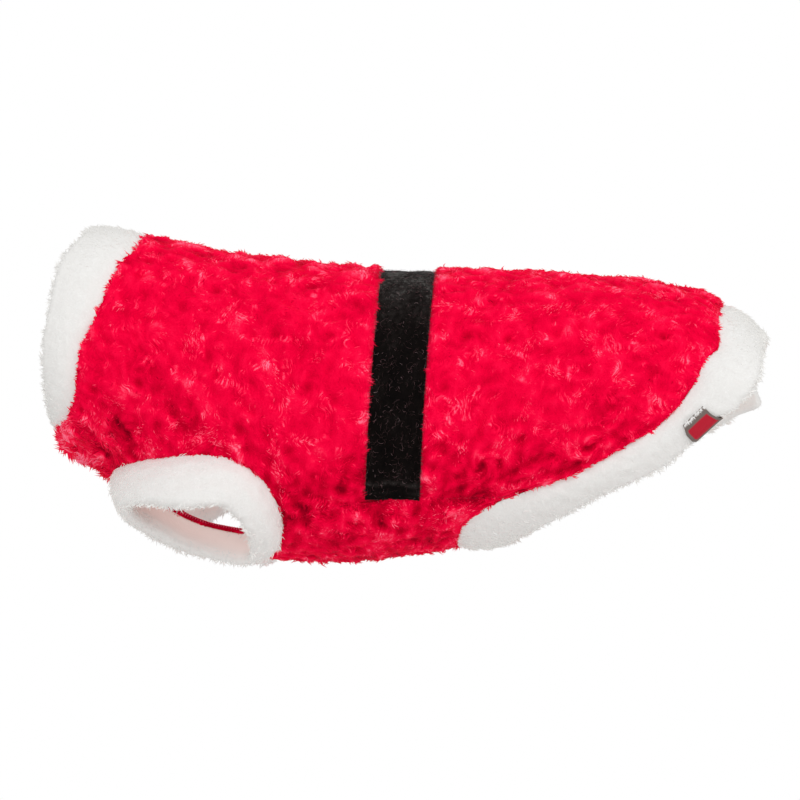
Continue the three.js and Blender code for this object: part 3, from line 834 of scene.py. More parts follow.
def gathered(flat, lay, grow, seed, apart=tufts["apart"]):
    # Locks drawn together into pointed tufts: tips are spread over the cloth with a tuft's
    # spacing, and each lock turns and stretches to end near the one that lies ahead of it.
    dice = np.random.default_rng(seed)
    way = np.stack([np.cos(lay), np.sin(lay)], axis=-1)
    long = dice.uniform(*tufts["long"], len(flat)) * grow
    middle = flat + way * long[:, None] * 0.5
    cell = np.round(middle / apart + 0.25 * np.sin(middle[:, ::-1] * 3.1 / apart)).astype(int)
    key, lot = np.unique(cell, axis=0, return_inverse=True)
    lot = lot.ravel()
    size = np.bincount(lot)[:, None]
    total = lambda v: np.stack([np.bincount(lot, v[:, k]) for k in range(2)], axis=-1)
    reach = dice.uniform(*tufts["long"], len(key))[:, None]
    reach = reach * (np.bincount(lot, grow)[:, None] / size)
    tip = total(flat) / size + unit(total(way)) * reach
    ahead = tip[lot] - flat
    length = np.linalg.norm(ahead, axis=1)
    shade = 0.09 * dice.normal(size=len(key))[lot]
    turned = np.arctan2(ahead[:, 1], ahead[:, 0]) + tufts["stray"] * dice.normal(size=len(flat))
    return turned, np.minimum(length, tufts["longest"]) * dice.uniform(0.6, 1.05, len(flat)), shade


def napLocks(surface, count, seed, weight):
    # Fine locks that lie close to the cloth in the shade of the ground under them.
    dice = np.random.default_rng(seed)
    spots = scatter(surface["points"], count, seed, weight * (1 - surface["pressed"]))
    lay, field, _ = layAt(surface, spots)
    stray = (0.03 + 0.05 * field["drift"]) * dice.normal(size=count)
    tone = readGrid(surface["tone"], spots) + stray
    return locks(surface, spots, lay + 0.35 * dice.normal(size=count), nap, tone, dice)


def spikeLocks(surface, count, seed, weight):
    # Locks that stand up, longer on the chest where the pile is ruffled; they come in clumps.
    dice = np.random.default_rng(seed)
    clump = smooth(-0.6, 1.4, ripple(rosePlaces(surface["x"], surface["turn"]), 7.0, seed + 1, 16))
    weight = weight * (1 - surface["pressed"]) * (0.15 + clump)
    spots = scatter(surface["points"], count, seed, weight)
    lay, _, flat = layAt(surface, spots)
    x, turn = readGrid(surface["x"], spots), readGrid(surface["turn"], spots)
    chest = chestShare(x, turn, spikes["chest"])
    tone = readGrid(surface["tone"], spots) + 0.04 * dice.normal(size=count) - 0.06 * chest
    lay = lay + 0.3 * dice.normal(size=count)
    lay, length, shade = gathered(flat, lay, 0.6 + 0.5 * chest, seed + 3)
    made = locks(surface, spots, lay, spikes, tone + shade * (1 + chest), dice)
    return {**made, "length": length}


def ruffLocks(surface, count, seed, weight):
    # Big pointed tufts on the chest, below the collar.
    dice = np.random.default_rng(seed)
    chest = chestShare(surface["x"], surface["turn"], ruff["chest"])
    spots = scatter(surface["points"], count, seed, weight * chest)
    lay, _, flat = layAt(surface, spots)
    lay = lay + 0.3 * dice.normal(size=count)
    lay, length, shade = gathered(flat, lay, np.full(count, ruff["grow"]), seed + 3, ruff["apart"])
    tone = readGrid(surface["tone"], spots) + 0.04 * dice.normal(size=count) + 1.3 * shade
    return {**locks(surface, spots, lay, ruff, tone, dice), "length": length}


def sheenFlameLocks(surface, seed, weight):
    # Painted sheen highlights: bright clusters where the pile turns over between the roses, spots at
    # least a given distance apart, each with a bundle of locks that lie almost together.
    dice = np.random.default_rng(seed)
    tries = scatter(surface["points"], sheenFlames["tries"], seed, weight * (1 - surface["pressed"]))
    lay, field, flat = layAt(surface, tries)
    kept = []
    isBetween = (field["reach"] > sheenFlames["reach"]) & (field["drift"] > sheenFlames["drift"])
    for k in np.flatnonzero(isBetween):
        if not kept or np.hypot(*(flat[kept] - flat[k]).T).min() > sheenFlames["apart"]:
            kept.append(k)
    kept = np.array(kept)
    down = fromSpine(readGrid(surface["turn"], (tries[0][kept], tries[1][kept])))
    scale = np.exp(0.35 * dice.normal(size=len(kept))) * (0.6 + 0.5 * field["drift"][kept])
    scale = scale * (1 + 0.3 * (1 - smooth(14, 40, down)) + 0.2 * smooth(95, 125, down))
    n = np.maximum(sheenFlames["strands"] * scale ** 1.6, 8).astype(int)
    bright = dice.uniform(*sheenFlames["tone"], len(kept)) - 0.12 * (1 - field["drift"][kept])
    lay = np.repeat(lay[kept] + 0.3 * dice.normal(size=len(kept)), n)
    scale, bright = np.repeat(scale, n), np.repeat(bright, n)
    a = dice.normal(size=len(lay)) * sheenFlames["long"] * scale
    b = dice.normal(size=len(lay)) * sheenFlames["wide"] * scale
    alongX, aroundX = a * np.cos(lay) - b * np.sin(lay), a * np.sin(lay) + b * np.cos(lay)
    i, j = np.repeat(tries[0][kept], n), np.repeat(tries[1][kept], n)
    # rows crowd at the armhole, so the way along the body is measured and read back as a row
    index = np.arange(surface["x"].shape[0])
    gone = np.concatenate([[0], np.cumsum(np.abs(np.diff(surface["x"], axis=0)).mean(axis=1))])
    columnStep = np.radians(np.abs(np.gradient(surface["turn"], axis=1))) * formRadius + 0.2
    row = np.interp(np.interp(i, index, gone) + alongX, gone, index)
    spots = (row, j + aroundX / readGrid(columnStep, (i, j)))
    isOn = (spots[0] > 0.5) & (spots[0] < surface["x"].shape[0] - 1.5)
    isOn &= (spots[1] > 0.5) & (spots[1] < surface["x"].shape[1] - 1.5)
    isOn &= readGrid(surface["pressed"], spots) < 0.05
    off = np.hypot(a / sheenFlames["long"], b / sheenFlames["wide"]) / scale
    tone = bright + 0.07 * dice.normal(size=len(bright)) - 0.05 * off
    spots, lay, bend, tone = (spots[0][isOn], spots[1][isOn]), lay[isOn], 0.10 * b[isOn], tone[isOn]
    return locks(surface, spots, lay + bend + 0.14 * dice.normal(size=len(lay)), sheenFlames, tone, dice)


def fringeLocks(surface, edge, seed, grow=1.0, style=fringe):
    # Tufts that hang over an edge: edge gives the rows, columns and outward directions of
    # points a fraction of a millimetre apart; their lengths come and go in clumps.
    dice = np.random.default_rng(seed)
    row, column, out = edge
    spots = (row, column)
    _, _, flat = layAt(surface, spots)
    clump = smooth(-0.9, 1.5, ripple(flat, 6.5, seed + 1, 14))
    tone = readGrid(surface["tone"], spots) + 0.05 * dice.normal(size=len(out)) + 0.06 * clump
    lay = out + 0.25 * dice.normal(size=len(out)) + 0.5 * ripple(flat, 9.0, seed + 2, 12)
    if style is beltFringe:  # its locks lie singly
        return locks(surface, spots, lay, style, tone, dice, grow * (0.45 + 0.75 * clump))
    lay, length, shade = gathered(flat, lay, grow * (0.5 + 0.5 * clump), seed + 4)
    return {**locks(surface, spots, lay, style, tone + shade, dice), "length": length}


def rowEdge(surface, row, out, seed, reach=3.4, start=0.0, end=1.0):
    # Spots along one row of a panel, spread over the last rows next to it.
    dice = np.random.default_rng(seed)
    line = surface["points"][int(row)]
    length = np.linalg.norm(np.diff(line, axis=0), axis=1).sum() * (end - start)
    count = int(length / fringe["every"])
    back = dice.uniform(0.15, 1, count) * reach / panels["cell"]
    column = dice.uniform(start, end, count) * (len(line) - 1)
    row = row + back if out == np.pi else row - back
    return row, column, np.full(count, out)


def columnEdge(surface, isLast, fromRow, toRow, seed, every, reach=2.0):
    # The same along a part of a panel's first or last column.
    dice = np.random.default_rng(seed)
    columns = surface["x"].shape[1] - 1
    line = surface["points"][int(fromRow):int(toRow) + 1, -1 if isLast else 0]
    reached = pathLengths(line)
    count = int(reached[-1] / every)
    back = dice.uniform(0, 1, count) ** 1.3 * reach / panels["cell"]
    column = columns - back if isLast else back
    turn = surface["turn"][0]
    out = np.sign(turn[-1] - turn[-2] if isLast else turn[0] - turn[1]) * np.pi / 2
    at = dice.uniform(0, reached[-1], count)
    row = int(fromRow) + np.interp(at, reached, np.arange(len(reached)))
    return row, column, np.full(count, out)


def makePile(name, lots):
    # Several lots of locks as one piece.
    lot = {key: np.concatenate([one[key] for one in lots]) for key in lots[0]}
    size = {key: lot[key] for key in ("length", "width", "lift", "curl", "tone", "root", "tip")}
    piece = strands(name, lot["place"], lot["normal"], lot["comb"], size, plushTips)
    return piece


rows = trimRows(panelRows(panels["cell"]), panels["step"])
backParts = partsOver(panels["halfGirth"])
backPanel, backSurface = makePanel("back_plush", "back_panel", backPlaces, rows, backParts, True)
bellyParts = partsOver(panels["halfBelly"])
bellyPanel, bellySurface = makePanel("belly_plush", "belly_panel", bellyPlaces, rows, bellyParts, False)
print("panels:", len(backPanel.data.polygons), len(bellyPanel.data.polygons), "faces")


def rowNear(key, value):
    # The row, with a part of a row, where a crosswise line is at some x.
    return float(np.interp(value, rows[key][:, 0], np.arange(len(rows[key]))))


def makePiles():
    # The back panel's pile in four quarters and the belly panel's in one.
    beltFront = rowNear("spine", lines["spine"][3] - 1)
    beltBack = rowNear("spine", lines["spine"][4] + 1)
    armFront, armBack = rowNear("seam", lines["seam"][1]), rowNear("seam", lines["seam"][2])
    last = len(rows["spine"]) - 1
    isFront = np.arange(last + 1)[:, None] < (beltFront + beltBack) / 2
    isLeft = backParts[None, :] > 0
    quarters = {
        "front_left": (True, True), "front_right": (True, False),
        "rear_left": (False, True), "rear_right": (False, False),
    }
    made = []
    for k, (label, (front, left)) in enumerate(quarters.items()):
        seed = 100 + 20 * k
        weight = (isFront == front) * (isLeft == left) * 1.0
        part = (0.5, 1.0) if left else (0.0, 0.5)
        ends = (0.0, beltFront) if front else (beltBack, last)
        outerRow, beltRow = (0.0, beltFront) if front else (float(last), beltBack)
        outward, beltward = (np.pi, 0.0) if front else (0.0, np.pi)
        outerEdge = rowEdge(backSurface, outerRow, outward, seed + 2, 3.4, *part)
        beltEdge = rowEdge(backSurface, beltRow, beltward, seed + 4, 1.6, *part)
        seamEdge = columnEdge(backSurface, left, *ends, seed + 6, fringe["everyPlain"])
        beltGrow = 1.25 if front else 0.8
        lots = [
            napLocks(backSurface, pile["nap"], seed, weight),
            sheenFlameLocks(backSurface, seed + 1, weight),
            spikeLocks(backSurface, pile["spikes"], seed + 11, weight),
            fringeLocks(backSurface, outerEdge, seed + 3),
            fringeLocks(backSurface, beltEdge, seed + 5, beltGrow, beltFringe),
            fringeLocks(backSurface, seamEdge, seed + 7, 0.8),
        ]
        if front:
            lots.append(ruffLocks(backSurface, pile["ruff"], seed + 12, weight))
            edge = columnEdge(backSurface, left, armFront, armBack, seed + 8, fringe["every"])
            lots.append(fringeLocks(backSurface, edge, seed + 9))
        made.append(makePile(f"pile_{label}", lots))
    whole = np.ones(bellySurface["x"].shape)
    lots = [
        napLocks(bellySurface, pile["bellyNap"], 200, whole),
        sheenFlameLocks(bellySurface, 201, whole),
        spikeLocks(bellySurface, pile["bellySpikes"], 211, whole),
        ruffLocks(bellySurface, pile["bellyRuff"], 222, whole),
    ]
    for k, (row, out, grow) in enumerate(((0.0, np.pi, 1.8), (float(last), 0.0, 1.1))):
        edge = rowEdge(bellySurface, row, out, 202 + k)
        lots.append(fringeLocks(bellySurface, edge, 204 + k, grow))
    for k, isLast in enumerate((True, False)):
        # past the belly line the turn runs on, so the left edge is the last column
        edge = columnEdge(bellySurface, isLast, armFront, armBack, 206 + k, fringe["every"])
        lots.append(fringeLocks(bellySurface, edge, 208 + k, 0.8))
        for end, (start, stop) in enumerate(((0, armFront), (armBack, last))):
            seed = 212 + 2 * k + end
            edge = columnEdge(bellySurface, isLast, start, stop, seed, fringe["everyBelly"])
            lots.append(fringeLocks(bellySurface, edge, seed + 4, 0.8))
    made.append(makePile("pile_belly", lots))
    return made


piles = makePiles()
print("pile:", sum(len(piece.data.polygons) for piece in piles), "faces")


# A trim's section, from the seam along the outside to the folded edge and back inside: the
# strip is turned in by about 9 mm, and the rest of its inside is its bare knit back.
trimSection = {
    "along": [0, 0.14, 0.35, 0.62, 0.86, 1, 1, 1, 1, 0.86, 0.66, 0.45, 0.25, 0.02],
    "side": [0.0, 0.45, 0.9, 1.08, 1.0, 0.8, 0.33, -0.28, -0.74, -0.86, -0.74, -0.58, -0.48, -0.45],
    "past": [0, 0, 0, 0, 0, 0.5, 0.92, 0.92, 0.5, 0, 0, 0, 0, 0],
    "backing": [0, 0, 0, 0, 0, 0, 0, 0, 0.1, 0.45, 0.8, 1, 1, 1],
}
trims = {"cell": 1.6, "section": 44, "rough": 720, "strip": 22, "half": 4, "lumps": 0.13, "waver": 0.8}
furSize = {
    "length": (1.4, 3.4), "width": (0.30, 0.70), "lift": (5, 30), "edgeLift": 28, "curl": 0.1,
    "tip": 0.03, "stray": 0.75,
}


def sectionLengths(table, strip):
    # How far along its outline each row of a section's table is, roughly, in mm.
    half = trims["half"]
    return pathLengths(np.stack([table[:, 0] * strip + table[:, 2] * half, table[:, 1] * half], axis=-1))


def sectionRows():
    # The section's table, at even steps along its closed outline.
    keys = ("along", "side", "past", "backing")
    table = np.array([trimSection[key] for key in keys], float).T
    looped = closed(table)
    reach = sectionLengths(looped, trims["strip"])
    at = np.linspace(0, reach[-1], trims["section"], endpoint=False)
    return {key: np.interp(at, reach, looped[:, k]) for k, key in enumerate(keys)}


section = sectionRows()


def catmullRom(table, t):
    # A closed curve through a table's x, y and z, with knots as far apart as the square
    # roots of the distances between its points.
    p = np.stack([table["x"], table["y"], table["z"]], axis=-1).astype(float)
    n = len(p)
    k = np.floor(t * n).astype(int) % n
    w = (t * n - np.floor(t * n))[:, None]
    p0, p1, p2, p3 = p[k - 1], p[k], p[(k + 1) % n], p[(k + 2) % n]
    knot = lambda a, b: np.sqrt(np.linalg.norm(b - a, axis=-1, keepdims=True))
    d0, d1, d2 = knot(p0, p1), knot(p1, p2), knot(p2, p3)
    m1 = ((p1 - p0) / d0 - (p2 - p0) / (d0 + d1) + (p2 - p1) / d1) * d1
    m2 = ((p2 - p1) / d1 - (p3 - p1) / (d1 + d2) + (p3 - p2) / d2) * d1
    square, cube = -3 * p1 + 3 * p2 - 2 * m1 - m2, 2 * p1 - 2 * p2 + m1 + m2
    return p1 + m1 * w + square * w ** 2 + cube * w ** 3


def clothSides(x, turn):
    # Where a trim starts inside and outside the cloth, and the way out of the cloth.
    inner, outer = onForm(x, turn), onForm(x, turn, cloth["plushWall"])
    return {"inner": inner, "outer": outer, "out": unit(outer - inner)}


def collarStations(count):
    # Round the collar: its start and its folded edge, the lip, which leans in at the chest.
    turn = np.arange(count) / count * 360
    down = np.minimum(turn, 360 - turn)
    x, lean = through(collar, "turn", "seam", down), through(collar, "turn", "lean", down)
    lip = onForm(through(collar, "turn", "lip", down), turn, cloth["trimReach"] / 2 - lean)
    return {**clothSides(x, turn), "lip": lip}


def hemStationsAt(turn):
    # The hem's stations at given turns; the far side's edge is a little different.
    down = np.minimum(turn % 360, 360 - turn % 360)
    x, lean = through(hem, "turn", "seam", down), through(hem, "turn", "lean", down)
    lipTurn = through(hem, "turn", "lipTurn", down)
    isFar = turn % 360 > 180
    bulge = hem["bulge"] * np.exp(-(((down - hem["bulgeTurn"]) / hem["bulgeWidth"]) ** 2)) * ~isFar
    lipX = through(hem, "turn", "lip", down) + bulge + isFar * through(hem, "turn", "farLip", down)
    farTurn = 360 - lipTurn + through(hem, "turn", "farTurn", down)
    lipTurn = np.where(isFar, farTurn, lipTurn + bulge * 0.8)
    lip = onForm(lipX, lipTurn, cloth["trimReach"] / 2 - lean)
    return {**clothSides(x, turn), "lip": lip}


def hemStations(count):
    # Round the hem, closer together at the sides, where it runs forward along the body.
    turn = np.arange(count) / count * 360
    return hemStationsAt(turn - hem["crowd"] * np.sin(np.radians(2 * turn)))


def cuffStations(count, downGrowth=armhole["downGrowth"][0]):
    # Over the armhole on the back panel's edge and home along the belly panel's.
    t = np.arange(count) / count
    even = np.where(t <= 0.5, 2 * t, 2 - 2 * t)
    s = (1 - np.cos(np.pi * even)) / 2
    bulge = armholeBulge(even)
    x = lines["seam"][1] + (lines["seam"][2] - lines["seam"][1]) * s
    up = -(armhole["up"] + armhole["upGrowth"] * s) * bulge
    down = (armhole["down"] + downGrowth * s * s) * bulge
    turn = through(sideSeam, "x", "turn", x) + np.where(t <= 0.5, up, down)
    lip = catmullRom(cuffLip, t)
    middle = np.array([np.mean(cuffLip[axis]) for axis in "xyz"])
    corner = np.exp(-(((t - cuffCorner["at"]) / cuffCorner["width"]) ** 2))[:, None]
    atCorner = {key: cuffCorner[key] * corner for key in ("over", "swell", "thin")}
    return {**clothSides(x, turn), **atCorner, "lip": lip, "out": unit(lip - middle)}


farCuff = {  # how the right cuff's folded edge differs from the left one's mirror image
    "x": [0, 0, -2, -2, 3, 1, 2, 0], "y": [0, 0, 0, 0, -2, -2, -2, 0],
    "z": [-4, -8, -3, 11, 10, 2, 4, 1],
}


def rightCuffStations(count):
    # The left cuff's mirror image, with its folded edge lower in front and tucked up below.
    left = cuffStations(count, armhole["downGrowth"][1])
    mirror = dict(zip("xyz", (1, -1, 1)))
    table = {axis: np.array(cuffLip[axis]) * mirror[axis] + np.array(farCuff[axis]) for axis in "xyz"}
    lip = catmullRom(table, np.arange(count) / count)
    flipped = {key: left[key] * np.array([1, -1, 1]) for key in ("inner", "outer", "out")}
    return {**left, **flipped, "lip": lip, "swell": left["swell"] * cuffCorner["farSwell"]}


def evenly(make):
    # The stations at even steps along a line between their folded edge and their seam.
    count = trims["rough"]
    rough = make(count)
    reach = pathLengths(closed(rough["lip"] * 0.5 + rough["outer"] * 0.5))
    at = np.linspace(0, reach[-1], int(reach[-1] / trims["cell"]), endpoint=False)
    place = np.interp(at, reach, np.arange(len(reach))) % count
    low = np.floor(place).astype(int) % count
    part = (place - np.floor(place))[:, None]
    mixed = lambda value: value[low] * (1 - part) + value[(low + 1) % count] * part
    return {key: mixed(value) for key, value in rough.items()}


def trimFrame(stations):
    # The middle of the cloth at each station, the way to the folded edge and, square to it,
    # the way out of the cloth.
    root = (stations["inner"] + stations["outer"]) / 2
    run = unit(stations["lip"] - root)
    over = np.sum(stations["out"] * run, axis=-1, keepdims=True)
    return root, run, unit(stations["out"] - run * over)


def trimGrid(stations, reach, seed):
    # The section carried round the stations, lifted by small lumps and a slow waver.
    root, run, side = (value[:, None] for value in trimFrame(stations))
    waver = trims["waver"] * ripple(stations["lip"], 46.0, seed, 9)[:, None, None]
    lip = stations["lip"][:, None] + run * waver
    along, out, past = (section[key][None, :, None] for key in ("along", "side", "past"))
    plain = np.zeros((len(root), 1))
    thin, over, swell = (stations.get(key, plain)[:, None] for key in ("thin", "over", "swell"))
    away = side * out + run * past
    base = root * (1 - along) + lip * along + away * reach / 2 * (1 - thin)
    # on the outside the strip may lap back over the panel and swell
    lap = over * np.clip(1 - along / 0.6, 0, 1) * (out > 0)
    swell = swell * np.interp(along, [0, 0.35, 0.8, 1], [0.4, 1, 0.6, 0]) * (out > 0)
    base = base - run * lap + side * swell
    away = unit(away)
    fur = (1 - section["backing"])[None, :]
    rooted = smooth(0, 0.12, section["along"])[None, :]
    lump = ripple(base, 8.0, seed + 1, 22) + 0.5 * ripple(base, 3.8, seed + 2, 22)
    lump = trims["lumps"] * lump
    return base + away * (lump * fur * rooted)[..., None], away, run, lump * fur


def wrapped(grid):
    # The grid with its first row and its first column once more at the end.
    looped = closed(grid)
    return np.concatenate([looped, looped[:, :1]], axis=1)


def makeTrim(name, node, stations, reach, count, seed, material=furMaterial, bare=None, calm=None):
    # The strip and its count locks. bare is a place (x, y, z, radius) where the fur is covered
    # and left out, and calm one where it lies flat.
    points, away, run, lump = trimGrid(stations, reach, seed)
    backing = np.broadcast_to(section["backing"][None, :], lump.shape)
    # its tone is lighter on its lumps: painted light on the relief
    piece = makeMesh(name, *ring(points), material, tone=0.6 + 0.04 * lump, backing=backing)
    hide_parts(node)
    dice = np.random.default_rng(seed + 5)
    grid = wrapped(points)
    edge = np.broadcast_to(section["past"][None, :], lump.shape)
    weight = wrapped(np.clip(1 - 1.8 * backing, 0, 1))
    if bare is not None:
        weight = weight * (np.linalg.norm(grid - bare[:3], axis=-1) > bare[3])
    spots = scatter(grid, count, seed + 6, weight)
    normal = unit(readGrid(gridNormals(grid, wrapped(away)), spots))
    root = readGrid(grid, spots)
    comb = readGrid(wrapped(np.broadcast_to(run, points.shape)), spots)
    comb = unit(comb + furSize["stray"] * dice.normal(size=comb.shape))
    clump = smooth(-0.7, 1.3, ripple(root, 4.6, seed + 8, 26))
    raised = furSize["edgeLift"] * readGrid(wrapped(edge), spots) + 5
    size = {
        "length": dice.uniform(*furSize["length"], count) * (0.65 + 0.85 * clump),
        "width": dice.uniform(*furSize["width"], count),
        "lift": dice.uniform(*furSize["lift"], count) + raised * clump,
        "curl": furSize["curl"] * dice.normal(size=count),
        "tone": np.clip(0.62 + 0.04 * dice.normal(size=count), 0, 1),
        "root": np.zeros(count), "tip": np.full(count, furSize["tip"]),
    }
    if calm is not None:
        still = 1 - smooth(0.6, 1.3, np.linalg.norm(root - calm[:3], axis=1) / calm[3])
        size["lift"] = size["lift"] * (1 - 0.85 * still)
        size["length"] = size["length"] * (1 - 0.4 * still)
    fur = strands(f"{name}_tips", root, normal, comb, size, furTips)
    return piece, fur


def placeOnHem(turn, radius):
    # A place on the hem's folded edge and a distance round it.
    return np.append(hemStationsAt(np.array([turn]))["lip"][0], radius)


trimReach, cuffReach = cloth["trimReach"], cloth["cuffReach"]
collarTrim, collarFur = makeTrim(
    "collar_fur", "collar_trim", evenly(collarStations), trimReach, count=9500, seed=300)
underLabel, farFold = placeOnHem(104.0, 9.0), placeOnHem(272.0, 12.0)
hemTrim, hemFur = makeTrim(
    "hem_fur", "hem_trim", evenly(hemStations), trimReach, count=17000, seed=320,
    material=hemMaterial, bare=underLabel, calm=farFold)
leftCuff, rightCuff = evenly(cuffStations), evenly(rightCuffStations)
cuffLeft, cuffLeftFur = makeTrim(
    "cuff_fur_left", "cuff_left", leftCuff, cuffReach, count=8000, seed=340)
cuffRight, cuffRightFur = makeTrim(
    "cuff_fur_right", "cuff_right", rightCuff, cuffReach, count=8000, seed=360)
print("trims made")


serging = {
    "height": 1.0, "wall": 0.85, "lean": 0.5, "pitch": 1.45, "thread": 0.72,
    "profile": [(0.0, 0.5), (0.5, 0.62), (0.92, 0.5), (1.06, 0.0), (0.92, -0.5), (0.5, -0.62),
                (0.0, -0.5)],
}


def makeSerging(name, stations, seed):
    # The seam's raw edges stand in from the armhole as a narrow band, whipped over and over
    # with thread: a closed band, and a bead of thread across it at every pitch.
    seam = stations["inner"]
    inward = unit(stations["inner"] - stations["outer"])
    middle = seam.mean(axis=0)
    centre = unit(middle - seam)
    rise = unit(inward + centre * serging["lean"])
    across = unit(np.cross(np.roll(seam, -1, axis=0) - np.roll(seam, 1, axis=0), rise))
    wave = 1 + 0.06 * ripple(seam, 14.0, seed, 9)[:, None]
    points = np.stack([seam + rise * up * serging["height"] * wave + across * out * serging["wall"]
                       for up, out in serging["profile"]], axis=1)
    band = makeMesh(name, *ring(points), plushMaterial, tone=np.full(points.shape[:2], 0.16))
    reach = pathLengths(closed(seam))
    index = np.interp(np.arange(0, reach[-1], serging["pitch"]), reach, np.arange(len(reach)))
    low = np.floor(index).astype(int)
    part = (index - low)[:, None, None]
    along = unit(np.roll(seam, -1, axis=0) - seam)[low % len(seam)]
    path = closed(points)[low] * (1 - part) + closed(points)[low + 1] * part
    out = unit(path - path.mean(axis=1, keepdims=True))
    slant = np.linspace(-0.5, 0.5, path.shape[1])[None, :, None] * along[:, None] * 0.9
    flat, faces = tubes(path + slant, out, serging["thread"] / 2)
    thread = makeMesh(f"{name}_thread", flat, faces, plushMaterial, tone=np.full(len(flat), 0.92))
    return [band, thread]


leftSerging = makeSerging("serged_seam_left", leftCuff, 400)
rightSerging = makeSerging("serged_seam_right", rightCuff, 401)


belt = {
    "lift": 2.0, "wall": 1.2, "inset": 0.9, "length": 155.0, "width": 27.6, "rows": 41, "columns": 401,
    "turnedEnd": 9.6, "doubled": 0.5, "ridge": 0.4, "ridgeWidth": 1.5,
    "groove": 0.3, "grooveFrom": 5.2, "grooveWidth": 1.2,
    "stitch": 0.22, "stitchFrom": 1.5, "stitchWidth": 0.45, "rounded": 0.9, "roundedTo": 1.4,
    # its grey towards the spine is a painted sheen on the velvet's upper side
    "grey": (20, 74),  # the turns between which its velvet goes from grey to black
}
beltLint = {"count": 1600, "length": (0.9, 4.0), "radius": (0.8, 3.0), "thick": (0.055, 0.11)}
beltFuzz = {"every": 0.42, "length": (0.8, 2.4), "radius": (0.6, 2.2), "thick": (0.07, 0.12)}


def makeBelt():
    # A flat band on the pressed strip: a closed wall with rounded long edges, a sunk line of
    # stitching along them, and a ridge where each end is turned under.
    across = np.linspace(0, 1, belt["rows"])
    band = {}
    for key in ("spine", "seam"):
        front, back = lines[key][3] + belt["inset"], lines[key][4] - belt["inset"]
        band[key] = (front + (back - front) * across)[:, None]
    band["backTurn"] = through(sideSeam, "x", "turn", band["seam"]) + 3.0 * across[:, None] - 1.8
    band["neckness"] = band["hemness"] = np.zeros((belt["rows"], 1))
    parts = np.linspace(-1, 1, belt["columns"])
    x, turn = backPlaces(band, parts)
    fromEnd = (1 - np.abs(parts))[None, :] * belt["length"]
    edge = np.minimum(across, 1 - across)[:, None] * belt["width"]
    flat = np.stack([x, np.radians(turn) * formRadius], axis=-1)
    waver = 0.5 * ripple(flat, 12.0, 43, 9)
    turnedEnd = belt["turnedEnd"]
    ridge = np.exp(-((fromEnd - turnedEnd + waver) / belt["ridgeWidth"]) ** 2)
    double = belt["doubled"] * (1 - smooth(turnedEnd - 1, turnedEnd + 1, fromEnd))
    groove = np.exp(-((fromEnd - turnedEnd + belt["grooveFrom"] + waver) / belt["grooveWidth"]) ** 2)
    stitch = belt["stitch"] * np.exp(-((edge - belt["stitchFrom"]) / belt["stitchWidth"]) ** 2)
    rounded = belt["rounded"] * (1 - smooth(0, belt["roundedTo"], np.minimum(edge, fromEnd)))
    nubs = 0.10 * ripple(flat, 10.0, 41) + 0.05 * ripple(flat, 3.2, 42, 26)
    lift = belt["lift"] + belt["wall"] + double + belt["ridge"] * ridge - belt["groove"] * groove
    lift = lift - stitch - rounded + nubs
    top = onForm(x, turn, lift)
    bottom = onForm(x, turn, belt["lift"] + 0 * x)[::4, ::4]
    points, faces = shell(top, bottom, 4)
    grey = 1 - smooth(*belt["grey"], np.abs(turn))
    # painted light: a grey sheen on top, lighter along the turned end's ridge and the groove beside it, and
    # painted shade in the sunk stitching
    tone = 0.25 + 0.06 * ripple(flat, 15.0, 44) + 0.05 * ripple(flat, 4.0, 45, 26)
    tone = tone + grey * (0.50 + 0.05 * ripple(flat, 2.6, 46, 26)) + 0.36 * ridge
    tone = tone + 0.2 * groove - 0.2 * stitch
    tone = np.concatenate([tone.ravel(), np.full(len(points) - tone.size, 0.4)])
    piece = makeMesh("velvet_belt", points, faces, velvetMaterial, tone=tone)
    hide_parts("belt")
    normal = gridNormals(top, top - onForm(x, turn, lift - 1))
    return piece, {"x": x, "turn": turn, "points": top, "normal": normal}


def curledFibres(surface, spots, way, style, tone, dice):
    # Fibres that lie on the cloth as parts of circles: way is where each sets off to, as an
    # angle from the body's length, and length / radius is how far round it goes.
    count = len(spots[0])
    x, turn = readGrid(surface["x"], spots), readGrid(surface["turn"], spots)
    along, around = (v[:, None] for v in surfaceWays(x, turn))
    normal = unit(readGrid(surface["normal"], spots))[:, None]
    length, radius = dice.uniform(*style["length"], count), dice.uniform(*style["radius"], count)
    radius = radius * np.where(dice.uniform(size=count) < 0.5, 1, -1)
    part = np.linspace(0, 1, 5)[None, :]
    angle = (length / radius)[:, None] * part
    ahead, aside = np.sin(angle) * radius[:, None], (1 - np.cos(angle)) * radius[:, None]
    cos, sin = np.cos(way)[:, None], np.sin(way)[:, None]
    rise = 0.1 + 0.5 * np.sin(np.pi * part * 0.8)
    path = readGrid(surface["points"], spots)[:, None] + normal * rise[..., None]
    path = path + along * (ahead * cos - aside * sin)[..., None]
    path = path + around * (ahead * sin + aside * cos)[..., None]
    taper = np.array([0.6, 1, 1, 0.8, 0.2])[None, :, None]
    half = dice.uniform(*style["thick"], count)[:, None, None] / 2 * taper
    flat, faces = tubes(path, np.broadcast_to(normal, path.shape), half)
    return flat, faces, np.repeat(tone, 15)


